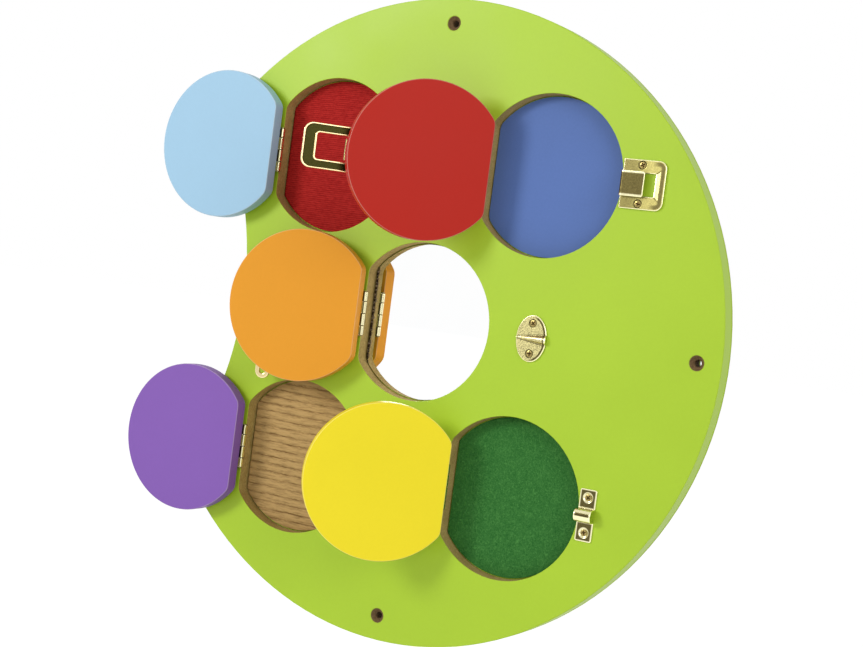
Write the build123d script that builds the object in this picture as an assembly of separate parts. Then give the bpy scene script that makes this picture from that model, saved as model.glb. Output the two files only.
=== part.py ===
from build123d import *
from math import radians, sin, sqrt
import os

# A round wall board with five hinged doors, each over a recess with its own inlay.
# Millimetres. The wall is the plane y = 0, the front looks to -Y and Z is up.
# Pieces are drawn on the board's face: x to the right, y up and z out of the face.

# Board
board_radius = 290.0
front_sheet = 15.0
back_sheet = 3.0
neighbour_share = 1.655
bite_corner = 4.0
board_edge_round = 0.8

# Wall fixings
fixing_inset = 22.0
fixing_angles = (0.0, 90.0, -90.0)
fixing_hole_radius = 3.1
fixing_sink_radius = 7.0

# Recesses: a circle cut off by an upright chord on its hinge side
column_share = 0.38
row_share = 0.486
middle_shift = 3.0
opening_share = 0.246
chord_share = 0.813
opening_corner = 12.0
opening_edge_round = 0.4

# Inlays
inlay_thickness = 2.0
inlay_gap = 1.2
groove_count = 20
groove_depth = 0.7
groove_width_share = 0.5

# Doors
door_thickness = 12.0
door_gap = 1.6
chord_gap = 1.5
door_edge_round = 0.8
sky_open = 180.0
red_open = 138.0
orange_open = 169.0
purple_open = 180.0
yellow_open = 143.0

# Butt hinges
hinge_length = 40.0
leaf_width = 16.0
leaf_thickness = 1.2
leaf_corner = 1.5
barrel_radius = 2.5
pin_radius = 1.2
pin_head_radius = 1.9
pin_head_height = 0.7
knuckle_shares = (0.22, 0.28, 0.28, 0.22)
hinge_screw_spread = 25.0
hinge_screw_inset = 9.5

# Screws
screw_radius = 1.3
screw_head_radius = 3.0
screw_head_height = 1.7
screw_length = 10.0
cross_width = 0.8
cross_depth = 0.9
cross_span_share = 0.62

# Draw latch of the red door: its pivot stands this far in from the door's free edge
latch_pivot_inset = 23.0
latch_base_length = 41.0
latch_base_lip = 3.0
latch_ear_gap = 0.4
latch_base_thickness = 1.2
latch_ear_thickness = 1.5
latch_ear_radius = 3.3
latch_pivot_height = 3.7
latch_throw = 10.0
lever_open_lift = 15.0
lever_share = 0.442
lever_side_gap = 2.5
lever_thickness = 1.6
lever_boss_radius = 2.2
lever_lip_radius = 1.7
loop_tongue_gap = 0.9
loop_width = 39.0
loop_arm_width = 8.0
loop_end_width = 12.0
loop_thickness = 2.0
loop_eye_radius = 2.3
loop_outer_corner = 8.0
loop_inner_corner = 2.5
latch_pin_radius = 1.2
latch_screw_spread = 12.0
latch_screw_shares = (0.78, 0.34)

# Keeper of the draw latch, on the board
keeper_length = 39.0
keeper_height = 42.0
keeper_thickness = 2.2
keeper_far_corner = 7.0
keeper_near_corner = 1.0
tongue_side_gap = 0.7
tongue_length = 22.0
tongue_thickness = 1.5
tongue_rise = 7.0
tongue_corner = 2.0
keeper_window_start = 6.0
keeper_window_end = 30.0
keeper_window_gap = 0.4
keeper_window_bevel = 1.4
keeper_screw_place = 17.0
keeper_screw_spread = 32.6
keeper_edge_round = 0.5

# Hook of the orange door
hook_inset = 30.0
hook_pivot_rise = 24.2
hook_drop = 97.0
hook_strip_width = 4.5
hook_strip_thickness = 3.0
hook_lift = 2.2
hook_curl_radius = 5.0
hook_tip_length = 2.0
hook_eye_radius = 5.6
hook_stud_radius = 2.2
hook_stud_head_radius = 4.0
hook_stud_head_height = 1.4

# Oval plates of the hook and of its keeper
oval_width = 29.0
oval_height = 41.0
oval_thickness = 1.7
oval_keeper_inset = 42.7
oval_screw_spread = 26.4
tunnel_small_radius = 0.5
tunnel_large_radius = 4.4
tunnel_wall = 1.1
tunnel_length_share = 0.96
tunnel_axis_height = 0.6

# Barrel bolt of the yellow door, measured inward from the door's free edge
bolt_radius = 3.5
bolt_axis_height = 4.6
bolt_tail_inset = 86.0
bolt_nose_inset = 6.0
bolt_nose_round = 1.0
bolt_plate_insets = (83.0, 11.0)
bolt_plate_width = 26.0
bolt_plate_thickness = 0.8
bolt_plate_corner = 2.0
guide_insets = (61.0, 21.0)
guide_length = 7.5
guide_wall = 1.2
guide_gap = 0.3
bolt_stem_inset = 51.0
bolt_stem_radius = 1.8
bolt_knob_radius = 4.5
bolt_knob_height = 14.5
bolt_screw_insets = (75.0, 37.0)
bolt_screw_spread = 19.0

# Keeper strap of the bolt, on the board
strap_width = 15.5
strap_length = 44.5
strap_thickness = 1.4
strap_bridge_inner = 4.6
strap_corner = 1.6
strap_screw_spread = 30.0

# Turn buttons
button_inset = 8.9
button_length = 32.0
button_width = 10.0
button_thickness = 3.0
button_edge_round = 0.8
washer_radius = 4.5
washer_thickness = 0.6
button_screw_radius = 1.6
button_screw_head_radius = 3.8
button_screw_head_height = 2.2
button_screw_length = 11.0

# Clearances, and how far a cut runs past the face it opens
running_gap = 0.05
screw_gap = 0.05
end_gap = 0.25
side_gap = 0.35
small_gap = 0.1
overrun = 5.0

total_thickness = front_sheet + back_sheet
neighbour_spacing = board_radius * neighbour_share
fixing_circle = board_radius - fixing_inset
column_offset = board_radius * column_share
row_offset = board_radius * row_share
opening_radius = board_radius * opening_share
opening_chord = opening_radius * chord_share
axis_height = barrel_radius
axis_from_centre = opening_chord - chord_gap / 2
door_reach = axis_from_centre + opening_radius - door_gap
latch_pivot_reach = door_reach - latch_pivot_inset
loop_inner_reach = axis_from_centre + opening_radius + tongue_length + loop_tongue_gap
loop_tip_reach = loop_inner_reach + loop_end_width
lever_length = (loop_inner_reach - latch_pivot_reach) * lever_share
loop_inner_width = loop_width - 2 * loop_arm_width
lever_width = loop_inner_width - 2 * lever_side_gap
latch_base_width = lever_width + 2 * (latch_ear_gap + latch_ear_thickness)
tongue_width = loop_inner_width - 2 * tongue_side_gap
keeper_window_height = tongue_width - 2 * keeper_window_gap
hook_reach = door_reach - hook_inset
oval_keeper_x = middle_shift + opening_radius + oval_keeper_inset
button_x = opening_radius + button_inset - column_offset
inlay_top = -front_sheet + inlay_thickness
hardware_edge = opening_radius

face = Plane(origin=(0, -total_thickness, 0), x_dir=(1, 0, 0), z_dir=(0, -1, 0))
brass_up = (0, 1, 0)

doors = {
    "sky": (-column_offset, row_offset, sky_open),
    "red": (column_offset, row_offset, red_open),
    "orange": (middle_shift, 0, orange_open),
    "purple": (-column_offset, -row_offset, purple_open),
    "yellow": (column_offset, -row_offset, yellow_open),
}
inlays = {
    "sky": "ribbed_inlay",
    "red": "blue_inlay",
    "orange": "mirror_inlay",
    "purple": "corrugated_inlay",
    "yellow": "felt_inlay",
}


def slab(outline, low, high):
    """The outline as a solid between two heights above the board's face."""
    return Pos(0, 0, low) * extrude(outline, high - low)


def d_outline(radius, chord, corner):
    """A circle cut off by an upright chord on its left, with the two corners rounded."""
    beyond = Pos(-chord - radius / 2, 0) * Rectangle(radius, 2 * radius)
    outline = Circle(radius) - beyond
    return fillet(outline.vertices().group_by(Axis.X)[0], corner)


def rod(radius, start, end, x, height):
    """An upright rod from start to end, its axis at x and at a height above the face."""
    middle = (start + end) / 2
    return Pos(x, middle, height) * Rot(90, 0, 0) * Cylinder(radius, end - start)


def bar_rod(radius, start, end, y, height):
    """A rod along x from start to end."""
    middle = (start + end) / 2
    return Pos(middle, y, height) * Rot(0, 90, 0) * Cylinder(radius, end - start)


def block(x_low, x_high, y_low, y_high, low, high):
    """A box between six limits."""
    centre = Pos((x_low + x_high) / 2, (y_low + y_high) / 2, (low + high) / 2)
    return centre * Box(x_high - x_low, y_high - y_low, high - low)


def screw_body(radius_gap, top):
    """A countersunk screw with its head at height 0, or the hole for it when a gap is given."""
    head_top = screw_head_radius + radius_gap
    shank = screw_radius + radius_gap
    head = Pos(0, 0, -screw_head_height / 2) * Cone(shank, head_top, screw_head_height)
    stem = Pos(0, 0, -screw_length / 2) * Cylinder(shank, screw_length)
    body = head + stem
    if top > 0:
        body += Pos(0, 0, top / 2) * Cylinder(head_top, top)
        body += Pos(0, 0, -screw_length - radius_gap / 2) * Cylinder(shank, radius_gap)
    return body


def screw():
    """A countersunk screw with a cross recess."""
    span = 2 * screw_head_radius * cross_span_share
    cross = Box(span, cross_width, 2 * cross_depth) + Box(cross_width, span, 2 * cross_depth)
    return screw_body(0, 0) - cross


def screw_holes(places):
    """The holes for screws at the given places, each (x, y, height of the head)."""
    return [Pos(*place) * screw_body(screw_gap, overrun) for place in places]


def screws(places):
    """Screws at the given places."""
    return [Pos(*place) * screw() for place in places]


def drilled(solid, places):
    """A solid with screw holes at the given places."""
    for hole in screw_holes(places):
        solid -= hole
    return solid


def opened(solid, name):
    """A solid drawn on the closed door, swung out to where the door stands."""
    centre_x, centre_y, angle = doors[name]
    axis = Axis((centre_x - axis_from_centre, centre_y, axis_height), brass_up)
    return solid.rotate(axis, -angle)


def save(name, *solids):
    """Write one node, turned from the board's face into the shared frame."""
    placed = [face.location * solid for solid in solids]
    shape = placed[0] if len(placed) == 1 else Compound(children=placed)
    shape.label = name
    export_step(shape, "parts/" + name + ".step")


def hinge_axis_x(name):
    """Where the hinge axis of a door stands."""
    return doors[name][0] - axis_from_centre


def leaf(side, own):
    """One leaf of a hinge about x = 0: side is -1 on the board, 1 on the door."""
    half = hinge_length / 2
    flat_start = barrel_radius + side_gap
    outline = Pos(side * (flat_start + leaf_width) / 2, 0) * Rectangle(leaf_width - flat_start, hinge_length)
    far = outline.vertices().filter_by(lambda point: abs(point.X) > leaf_width - leaf_corner)
    body = slab(fillet(far, leaf_corner), 0, leaf_thickness)
    top = half
    for index, share in enumerate(knuckle_shares):
        bottom = top - share * hinge_length
        if index in own:
            low = bottom + (end_gap / 2 if index < len(knuckle_shares) - 1 else 0)
            high = top - (end_gap / 2 if index > 0 else 0)
            inner = min(0, side * (flat_start + leaf_corner))
            outer = max(0, side * (flat_start + leaf_corner))
            body += block(inner, outer, low, high, 0, leaf_thickness)
            body += rod(barrel_radius, low, high, 0, axis_height)
            body -= rod(pin_radius + running_gap, low - overrun, high + overrun, 0, axis_height)
        top = bottom
    return body


def hinge_pin():
    """The pin of a hinge about x = 0, with its two flat heads."""
    half = hinge_length / 2 + small_gap
    pin = rod(pin_radius, -half, half, 0, axis_height)
    pin += rod(pin_head_radius, half, half + pin_head_height, 0, axis_height)
    pin += rod(pin_head_radius, -half - pin_head_height, -half, 0, axis_height)
    return pin


def hinge_screw_places(name, side):
    """Where the two screws of one leaf go."""
    x = hinge_axis_x(name) + side * hinge_screw_inset
    y = doors[name][1]
    return [(x, y + end * hinge_screw_spread / 2, leaf_thickness) for end in (1, -1)]


def latch_screw_places():
    """Where the four screws of the draw latch go on the red door."""
    x = hinge_axis_x("red")
    y = doors["red"][1]
    pivot = x + latch_pivot_reach
    spread = latch_screw_spread / 2
    ends = (spread, -spread)
    insets = [latch_base_length * share for share in latch_screw_shares]
    return [(pivot - inset, y + end, latch_base_thickness) for inset in insets for end in ends]


def keeper_screw_places():
    """Where the two screws of the latch keeper go."""
    x = column_offset + hardware_edge + keeper_screw_place
    return [(x, row_offset + end * keeper_screw_spread / 2, keeper_thickness) for end in (1, -1)]


def oval_screw_places(x, y):
    """Where the two screws of an oval plate go."""
    return [(x, y + end * oval_screw_spread / 2, oval_thickness) for end in (1, -1)]


def bolt_screw_places():
    """Where the four screws of the bolt plate go on the yellow door."""
    x = hinge_axis_x("yellow")
    y = doors["yellow"][1]
    edge = x + door_reach
    spread = bolt_screw_spread / 2
    ends = (spread, -spread)
    return [(edge - inset, y + end, bolt_plate_thickness) for inset in bolt_screw_insets for end in ends]


def strap_screw_places():
    """Where the two screws of the bolt's keeper go."""
    x = column_offset + hardware_edge + strap_width / 2
    return [(x, -row_offset + end * strap_screw_spread / 2, strap_thickness) for end in (1, -1)]


def button_places():
    """Where the two turn buttons are screwed on."""
    return [(button_x, end * row_offset) for end in (1, -1)]


def board_blank(low, high):
    """A disc between two heights, with a bite on its left where a neighbouring disc fits in."""
    body = slab(Circle(board_radius) - Pos(-neighbour_spacing, 0) * Circle(board_radius), low, high)
    corners = body.edges().filter_by(Axis.Z).group_by(Axis.X)[0]
    return fillet(corners, bite_corner)


def fixing_places():
    """Where the wall screws pass through."""
    return [PolarLocations(fixing_circle, 1, angle).locations[0] for angle in fixing_angles]


def front_board():
    """The front sheet with its five openings, countersunk fixings and screw holes."""
    body = board_blank(-front_sheet, 0)
    for x, y, _ in doors.values():
        outline = Pos(x, y) * d_outline(opening_radius, opening_chord, opening_corner)
        body -= slab(outline, -front_sheet - overrun, overrun)
    front = body.faces().sort_by(Axis.Z)[-1]
    body = fillet(front.outer_wire().edges(), board_edge_round)
    front = body.faces().sort_by(Axis.Z)[-1]
    edges = [edge for wire in front.inner_wires() for edge in wire.edges()]
    body = fillet(edges, opening_edge_round)
    sink_depth = fixing_sink_radius - fixing_hole_radius
    for place in fixing_places():
        body -= place * Pos(0, 0, -front_sheet / 2) * Cylinder(fixing_hole_radius, front_sheet + overrun)
        body -= place * Pos(0, 0, -sink_depth / 2) * Cone(fixing_hole_radius, fixing_sink_radius, sink_depth)
    places = [place for name in doors for place in hinge_screw_places(name, -1)]
    places += keeper_screw_places() + oval_screw_places(oval_keeper_x, 0) + strap_screw_places()
    body = drilled(body, places)
    depth = button_screw_length + small_gap
    for x, y in button_places():
        body -= Pos(x, y, -depth / 2) * Cylinder(button_screw_radius + screw_gap, depth)
    return body


def back_panel():
    """The thin sheet that closes the openings from behind."""
    body = board_blank(-total_thickness, -front_sheet)
    for place in fixing_places():
        body -= place * Pos(0, 0, -total_thickness) * Cylinder(fixing_hole_radius, front_sheet)
    return body


def inlay(name):
    """The sheet that lies at the bottom of a recess."""
    x, y, _ = doors[name]
    outline = d_outline(opening_radius - inlay_gap, opening_chord - inlay_gap, opening_corner - inlay_gap)
    body = slab(outline, -front_sheet, inlay_top)
    if inlays[name] == "corrugated_inlay":
        pitch = 2 * (opening_radius - inlay_gap) / groove_count
        half_width = pitch * groove_width_share / 2
        groove_radius = (half_width ** 2 + groove_depth ** 2) / (2 * groove_depth)
        axis = inlay_top + groove_radius - groove_depth
        for index in range(groove_count):
            level = (index + 1 / 2 - groove_count / 2) * pitch
            body -= bar_rod(groove_radius, -opening_radius, opening_radius, level, axis)
    return Pos(x, y, 0) * body


def door(name):
    """A door that fills its recess, drilled for its hinge and its own fitting."""
    x, y, _ = doors[name]
    outline = d_outline(opening_radius - door_gap, opening_chord - chord_gap, opening_corner - door_gap)
    body = slab(outline, -door_thickness, 0)
    rims = body.faces().sort_by(Axis.Z)
    body = fillet(rims[0].edges() + rims[-1].edges(), door_edge_round)
    body = drilled(Pos(x, y, 0) * body, hinge_screw_places(name, 1))
    if name == "red":
        body = drilled(body, latch_screw_places())
    if name == "orange":
        body = drilled(body, oval_screw_places(hinge_axis_x(name) + hook_reach, hook_pivot_rise))
    if name == "yellow":
        body = drilled(body, bolt_screw_places())
    return body


def latch_base():
    """The plate on the door with two ears for the lever's pin."""
    half = latch_base_width / 2
    end = latch_pivot_reach + latch_base_lip
    body = block(end - latch_base_length, end, -half, half, 0, latch_base_thickness)
    edges = body.edges().filter_by(Axis.Z).group_by(Axis.X)[0]
    body = fillet(edges, latch_ear_radius)
    low = latch_pivot_reach - latch_ear_radius
    for inner, outer in ((half - latch_ear_thickness, half), (-half, latch_ear_thickness - half)):
        body += block(low, low + 2 * latch_ear_radius, inner, outer, 0, latch_pivot_height)
        body += rod(latch_ear_radius, inner, outer, latch_pivot_reach, latch_pivot_height)
    reach = half + overrun
    body -= rod(latch_pin_radius + running_gap, -reach, reach, latch_pivot_reach, latch_pivot_height)
    return body


def lever():
    """The thumb lever, drawn straight out and then lifted to where it stands open."""
    half = lever_width / 2
    pivot, height = latch_pivot_reach, latch_pivot_height
    thin = lever_thickness / 2
    body = block(pivot, pivot + lever_length, -half, half, height - thin, height + thin)
    body += rod(lever_boss_radius, -half, half, pivot, height)
    body += rod(lever_boss_radius, -half, half, pivot + latch_throw, height)
    lip_height = height + thin - lever_lip_radius
    body += rod(lever_lip_radius, -half, half, pivot + lever_length, lip_height)
    reach = half + overrun
    for x in (pivot, pivot + latch_throw):
        body -= rod(latch_pin_radius + running_gap, -reach, reach, x, height)
    return body


def lifted(solid):
    """A solid drawn with the lever flat, turned with the lever to where it stands open."""
    axis = Axis((latch_pivot_reach, 0, latch_pivot_height), brass_up)
    return solid.rotate(axis, -lever_open_lift)


def loop_place():
    """Reach and height of the loop's pin while the lever stands open."""
    lift = radians(lever_open_lift)
    run = sqrt(latch_throw ** 2 - (latch_throw * sin(lift)) ** 2)
    return latch_pivot_reach + run, latch_pivot_height + latch_throw * sin(lift)


def loop():
    """The flat frame that the lever pulls, with an eye at the end of each arm."""
    start, height = loop_place()
    half = loop_width / 2
    inside = half - loop_arm_width
    outline = Pos((start + loop_tip_reach) / 2, 0) * Rectangle(loop_tip_reach - start, loop_width)
    outline = fillet(outline.vertices().group_by(Axis.X)[-1], loop_outer_corner)
    window_end = loop_inner_reach
    window = Pos((start + window_end) / 2, 0) * Rectangle(window_end - start, 2 * inside)
    window = fillet(window.vertices().group_by(Axis.X)[-1], loop_inner_corner)
    window += Pos(start, 0) * Rectangle(2 * overrun, 2 * inside)
    body = slab(outline - window, height - loop_thickness / 2, height + loop_thickness / 2)
    for low, high in ((inside, half), (-half, -inside)):
        body += rod(loop_eye_radius, low, high, start, height)
    reach = half + overrun
    return body - rod(latch_pin_radius + running_gap, -reach, reach, start, height)


def lever_pin():
    """The pin through the ears and the lever."""
    half = latch_base_width / 2 + small_gap
    return rod(latch_pin_radius, -half, half, latch_pivot_reach, latch_pivot_height)


def loop_pin():
    """The pin through the lever and the loop's eyes."""
    start, height = loop_place()
    half = loop_width / 2 + small_gap
    return rod(latch_pin_radius, -half, half, start, height)


def latch_keeper():
    """The plate on the board whose folded tongue the loop pulls against."""
    plate = Pos(keeper_length / 2, 0) * Rectangle(keeper_length, keeper_height)
    sides = plate.vertices().group_by(Axis.X)
    plate = fillet(sides[-1], keeper_far_corner)
    sides = plate.vertices().group_by(Axis.X)
    plate = fillet(sides[0], keeper_near_corner)
    body = slab(plate, 0, keeper_thickness)
    body = fillet(body.faces().sort_by(Axis.Z)[-1].edges(), keeper_edge_round)
    middle = (keeper_window_start + keeper_window_end) / 2
    window = Pos(middle, 0) * Rectangle(keeper_window_end - keeper_window_start, keeper_window_height)
    body -= slab(window, -overrun, overrun)
    bevel = Pos(keeper_window_end, 0, keeper_thickness) * Rot(0, 45, 0) * Box(
        keeper_window_bevel * sqrt(2), keeper_window_height, keeper_window_bevel * sqrt(2))
    body -= bevel
    bend = tongue_rise / 2
    half = tongue_width / 2
    fold = rod(bend, -half, half, bend, bend)
    fold -= rod(bend - tongue_thickness, -half - overrun, half + overrun, bend, bend)
    fold &= block(0, bend, -half, half, 0, tongue_rise)
    strip = Pos((bend + tongue_length) / 2, 0) * Rectangle(tongue_length - bend, tongue_width)
    strip = fillet(strip.vertices().group_by(Axis.X)[-1], tongue_corner)
    root = block(bend, keeper_window_start + tongue_thickness, -half, half, 0, tongue_thickness)
    body += fold + slab(strip, tongue_rise - tongue_thickness, tongue_rise) + root
    return body


def oval_plate():
    """An oval plate with a rounded front edge."""
    body = slab(Ellipse(oval_width / 2, oval_height / 2), 0, oval_thickness)
    return fillet(body.faces().sort_by(Axis.Z)[-1].edges(), keeper_edge_round)


def oval_keeper():
    """The oval plate on the board with a raised tapering tunnel that opens to the right."""
    body = oval_plate()
    half = oval_width / 2
    lay = Pos(0, 0, tunnel_axis_height) * Rot(0, 90, 0)
    ridge = lay * Cone(tunnel_small_radius, tunnel_large_radius, oval_width * tunnel_length_share)
    body += ridge & block(-half, half, -half, half, 0, oval_height)
    bore_start = tunnel_large_radius - tunnel_wall
    return body - lay * Pos(0, 0, half / 2) * Cone(tunnel_small_radius / 2, bore_start, half)


def hook():
    """The flat hook, hanging from its stud, with its end curled back up on the hinge side."""
    strip = hook_strip_width / 2
    curl_level = -(hook_drop - hook_curl_radius - strip)
    shank = Pos(0, curl_level / 2) * Rectangle(hook_strip_width, -curl_level)
    outer = hook_curl_radius + strip
    inner = hook_curl_radius - strip
    curl = Pos(-hook_curl_radius, curl_level) * (Circle(outer) - Circle(inner))
    curl -= Pos(-hook_curl_radius, curl_level + outer / 2) * Rectangle(2 * outer, outer)
    tip_x = -2 * hook_curl_radius
    tip = Pos(tip_x, curl_level + hook_tip_length / 2) * Rectangle(hook_strip_width, hook_tip_length)
    tip += Pos(tip_x, curl_level + hook_tip_length) * Circle(strip)
    outline = Circle(hook_eye_radius) + shank + curl + tip
    outline -= Circle(hook_stud_radius + running_gap)
    low = oval_thickness + hook_lift - oval_thickness / 2
    return slab(outline, low, low + hook_strip_thickness)


def hook_plate():
    """The oval plate on the door with the stud that the hook turns on."""
    body = oval_plate()
    low = oval_thickness + hook_lift - oval_thickness / 2
    top = low + hook_strip_thickness + end_gap
    body += slab(Circle(hook_stud_radius), 0, top)
    body += slab(Circle(hook_eye_radius), 0, low - end_gap)
    return body + slab(Circle(hook_stud_head_radius), top, top + hook_stud_head_height)


def bolt():
    """The sliding bolt with its stem and knob."""
    tail, tip = door_reach - bolt_tail_inset, door_reach - bolt_nose_inset
    body = bar_rod(bolt_radius, tail, tip, 0, bolt_axis_height)
    nose = body.edges().filter_by(GeomType.CIRCLE).group_by(Axis.X)
    body = chamfer(nose[0] + nose[-1], bolt_nose_round)
    stem_top = bolt_axis_height + bolt_knob_height - bolt_knob_radius
    stem_x = door_reach - bolt_stem_inset
    body += Pos(stem_x, 0, 0) * slab(Circle(bolt_stem_radius), bolt_axis_height, stem_top)
    return body + Pos(stem_x, 0, stem_top) * Sphere(bolt_knob_radius)


def bolt_plate():
    """The flat plate under the bolt."""
    far, near = bolt_plate_insets
    outline = RectangleRounded(far - near, bolt_plate_width, bolt_plate_corner)
    return slab(Pos(door_reach - (far + near) / 2, 0) * outline, 0, bolt_plate_thickness)


def bridge(start, end, inner, wall, foot):
    """An arch over a rod along x, standing on the height foot."""
    outer = inner + wall
    low, high = start - overrun, end + overrun
    body = bar_rod(outer, start, end, 0, bolt_axis_height)
    body += block(start, end, -outer, outer, foot, bolt_axis_height)
    body -= bar_rod(inner, low, high, 0, bolt_axis_height)
    body -= block(low, high, -inner, inner, foot - overrun, bolt_axis_height)
    return body & block(start, end, -outer, outer, foot, foot + oval_height)


def bolt_guides():
    """The two arches that hold the bolt to its plate."""
    inner = bolt_radius + guide_gap
    starts = [door_reach - inset for inset in guide_insets]
    return [bridge(start, start + guide_length, inner, guide_wall, bolt_plate_thickness) for start in starts]


def bolt_strap():
    """The keeper on the board: an arch with a screwed ear above and below."""
    half = strap_length / 2
    body = bridge(0, strap_width, strap_bridge_inner, strap_thickness, 0)
    gap = strap_bridge_inner
    for end in (1, -1):
        middle = end * (gap + half) / 2
        ear = Pos(strap_width / 2, middle) * Rectangle(strap_width, half - gap)
        far = ear.vertices().filter_by(lambda point: abs(point.Y) > half - strap_corner)
        body += slab(fillet(far, strap_corner), 0, strap_thickness)
    return body


def turn_button():
    """A flat bar with round ends that turns across the edge of a door."""
    outline = SlotOverall(button_length, button_width)
    body = slab(outline, washer_thickness, washer_thickness + button_thickness)
    body = fillet(body.faces().sort_by(Axis.Z)[-1].edges(), button_edge_round)
    body -= slab(Circle(button_screw_radius + running_gap), -overrun, button_length)
    return body.rotate(Axis.Z, 90)


def button_screw():
    """The round-headed screw that a turn button turns on."""
    low = washer_thickness + button_thickness + small_gap
    body = slab(Circle(button_screw_radius), -button_screw_length, low)
    head = slab(Circle(button_screw_head_radius), low, low + button_screw_head_height)
    head = fillet(head.faces().sort_by(Axis.Z)[-1].edges(), button_edge_round)
    span = 2 * button_screw_head_radius * cross_span_share
    cross = Box(span, cross_width, 2 * cross_depth) + Box(cross_width, span, 2 * cross_depth)
    return body + head - Pos(0, 0, low + button_screw_head_height) * cross


def washer():
    """The washer between a turn button and the board."""
    ring = Circle(washer_radius) - Circle(button_screw_radius + running_gap)
    return slab(ring, 0, washer_thickness - small_gap / 2)


def save_on_door(name, node, *solids):
    """Write a node that is carried by a door."""
    save(node, *[opened(solid, name) for solid in solids])


os.makedirs("parts", exist_ok=True)
save("front_board", front_board())
save("back_panel", back_panel())

for colour in doors:
    at_axis = Pos(hinge_axis_x(colour), doors[colour][1], 0)
    save(inlays[colour], inlay(colour))
    save_on_door(colour, colour + "_door", door(colour))
    board_leaf = drilled(at_axis * leaf(-1, (0, 2)), hinge_screw_places(colour, -1))
    door_leaf = drilled(at_axis * leaf(1, (1, 3)), hinge_screw_places(colour, 1))
    save(colour + "_board_leaf", board_leaf)
    save_on_door(colour, colour + "_door_leaf", door_leaf)
    save(colour + "_hinge_pin", at_axis * hinge_pin())
    save_on_door(colour, colour + "_leaf_screws", *screws(hinge_screw_places(colour, 1)))

board_screw_places = [place for colour in doors for place in hinge_screw_places(colour, -1)]
save("board_leaf_screws", *screws(board_screw_places))

on_red = Pos(hinge_axis_x("red"), doors["red"][1], 0)
save_on_door("red", "latch_base", drilled(on_red * latch_base(), latch_screw_places()))
save_on_door("red", "latch_screws", *screws(latch_screw_places()))
save_on_door("red", "latch_lever_pin", on_red * lever_pin())
save_on_door("red", "latch_lever", on_red * lifted(lever()))
save_on_door("red", "latch_loop", on_red * loop())
save_on_door("red", "latch_loop_pin", on_red * loop_pin())
keeper_at = Pos(column_offset + hardware_edge, row_offset, 0)
save("latch_keeper", drilled(keeper_at * latch_keeper(), keeper_screw_places()))

hook_at = Pos(hinge_axis_x("orange") + hook_reach, hook_pivot_rise, 0)
hook_screw_places = oval_screw_places(hinge_axis_x("orange") + hook_reach, hook_pivot_rise)
save_on_door("orange", "hook_plate", drilled(hook_at * hook_plate(), hook_screw_places))
save_on_door("orange", "hook_screws", *screws(hook_screw_places))
save_on_door("orange", "hook", hook_at * hook())
save("hook_keeper", drilled(Pos(oval_keeper_x, 0, 0) * oval_keeper(), oval_screw_places(oval_keeper_x, 0)))

on_yellow = Pos(hinge_axis_x("yellow"), doors["yellow"][1], 0)
save_on_door("yellow", "bolt_plate", drilled(on_yellow * bolt_plate(), bolt_screw_places()))
save_on_door("yellow", "bolt_screws", *screws(bolt_screw_places()))
save_on_door("yellow", "bolt_guides", *[on_yellow * guide for guide in bolt_guides()])
save_on_door("yellow", "bolt", on_yellow * bolt())
strap_at = Pos(column_offset + hardware_edge, -row_offset, 0)
save("bolt_strap", drilled(strap_at * bolt_strap(), strap_screw_places()))

keeper_screws = keeper_screw_places() + oval_screw_places(oval_keeper_x, 0) + strap_screw_places()
save("keeper_screws", *screws(keeper_screws))

for level, (x, y) in zip(("upper", "lower"), button_places()):
    save(level + "_turn_button", Pos(x, y, 0) * turn_button())
save("button_washers", *[Pos(x, y, 0) * washer() for x, y in button_places()])
save("button_screws", *[Pos(x, y, 0) * button_screw() for x, y in button_places()])
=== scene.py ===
import logging
from dataclasses import dataclass
from enum import Enum
from math import cos, pi, radians, sin
from typing import Any, Callable

import bpy
import numpy as np
from mathutils import Matrix, Vector


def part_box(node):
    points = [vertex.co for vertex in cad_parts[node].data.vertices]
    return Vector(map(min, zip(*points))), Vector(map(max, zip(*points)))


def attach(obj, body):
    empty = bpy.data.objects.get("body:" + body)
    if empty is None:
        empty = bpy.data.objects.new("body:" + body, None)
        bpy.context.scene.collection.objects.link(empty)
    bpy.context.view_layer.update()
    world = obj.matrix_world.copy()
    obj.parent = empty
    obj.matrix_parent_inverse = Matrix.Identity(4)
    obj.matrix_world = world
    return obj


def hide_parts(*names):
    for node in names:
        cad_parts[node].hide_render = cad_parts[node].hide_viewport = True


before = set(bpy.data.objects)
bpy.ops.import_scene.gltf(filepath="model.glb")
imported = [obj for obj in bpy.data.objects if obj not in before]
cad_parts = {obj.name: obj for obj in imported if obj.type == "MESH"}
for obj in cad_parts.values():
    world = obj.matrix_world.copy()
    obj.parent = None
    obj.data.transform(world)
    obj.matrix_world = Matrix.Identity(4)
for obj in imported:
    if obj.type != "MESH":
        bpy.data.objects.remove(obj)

LOG = logging.getLogger("activity_board")
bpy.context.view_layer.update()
Array = np.ndarray
Colour = tuple[float, float, float]
Rgba = tuple[float, float, float, float]
Spot = tuple[float, float]
Corner = tuple[float, float, float]
Band = tuple[Spot, Spot]
Levels = Callable[..., Array]
Carry = Callable[[Array], Array]
Socket = bpy.types.NodeSocket
Tree = bpy.types.NodeTree

# Shapes are worked out in millimetres and carried into the shared frame, which is in metres
MM = 0.001
FACE_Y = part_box("front_board")[0][1]
COLUMN = 110.2 * MM
ROW = 140.94 * MM
MIDDLE = 3.0 * MM
AXIS_FROM_CENTRE = 57.249

PAINT_SPECULAR = 0.12
BOARD_SPECULAR = 0.3
SHEET_SPECULAR = 0.06
NOISE_LOW, NOISE_HIGH = 0.3, 0.7
BOARD_MOTTLE, BOARD_GLOSS = 0.025, 0.4
PATH_STEP = 0.3


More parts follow.
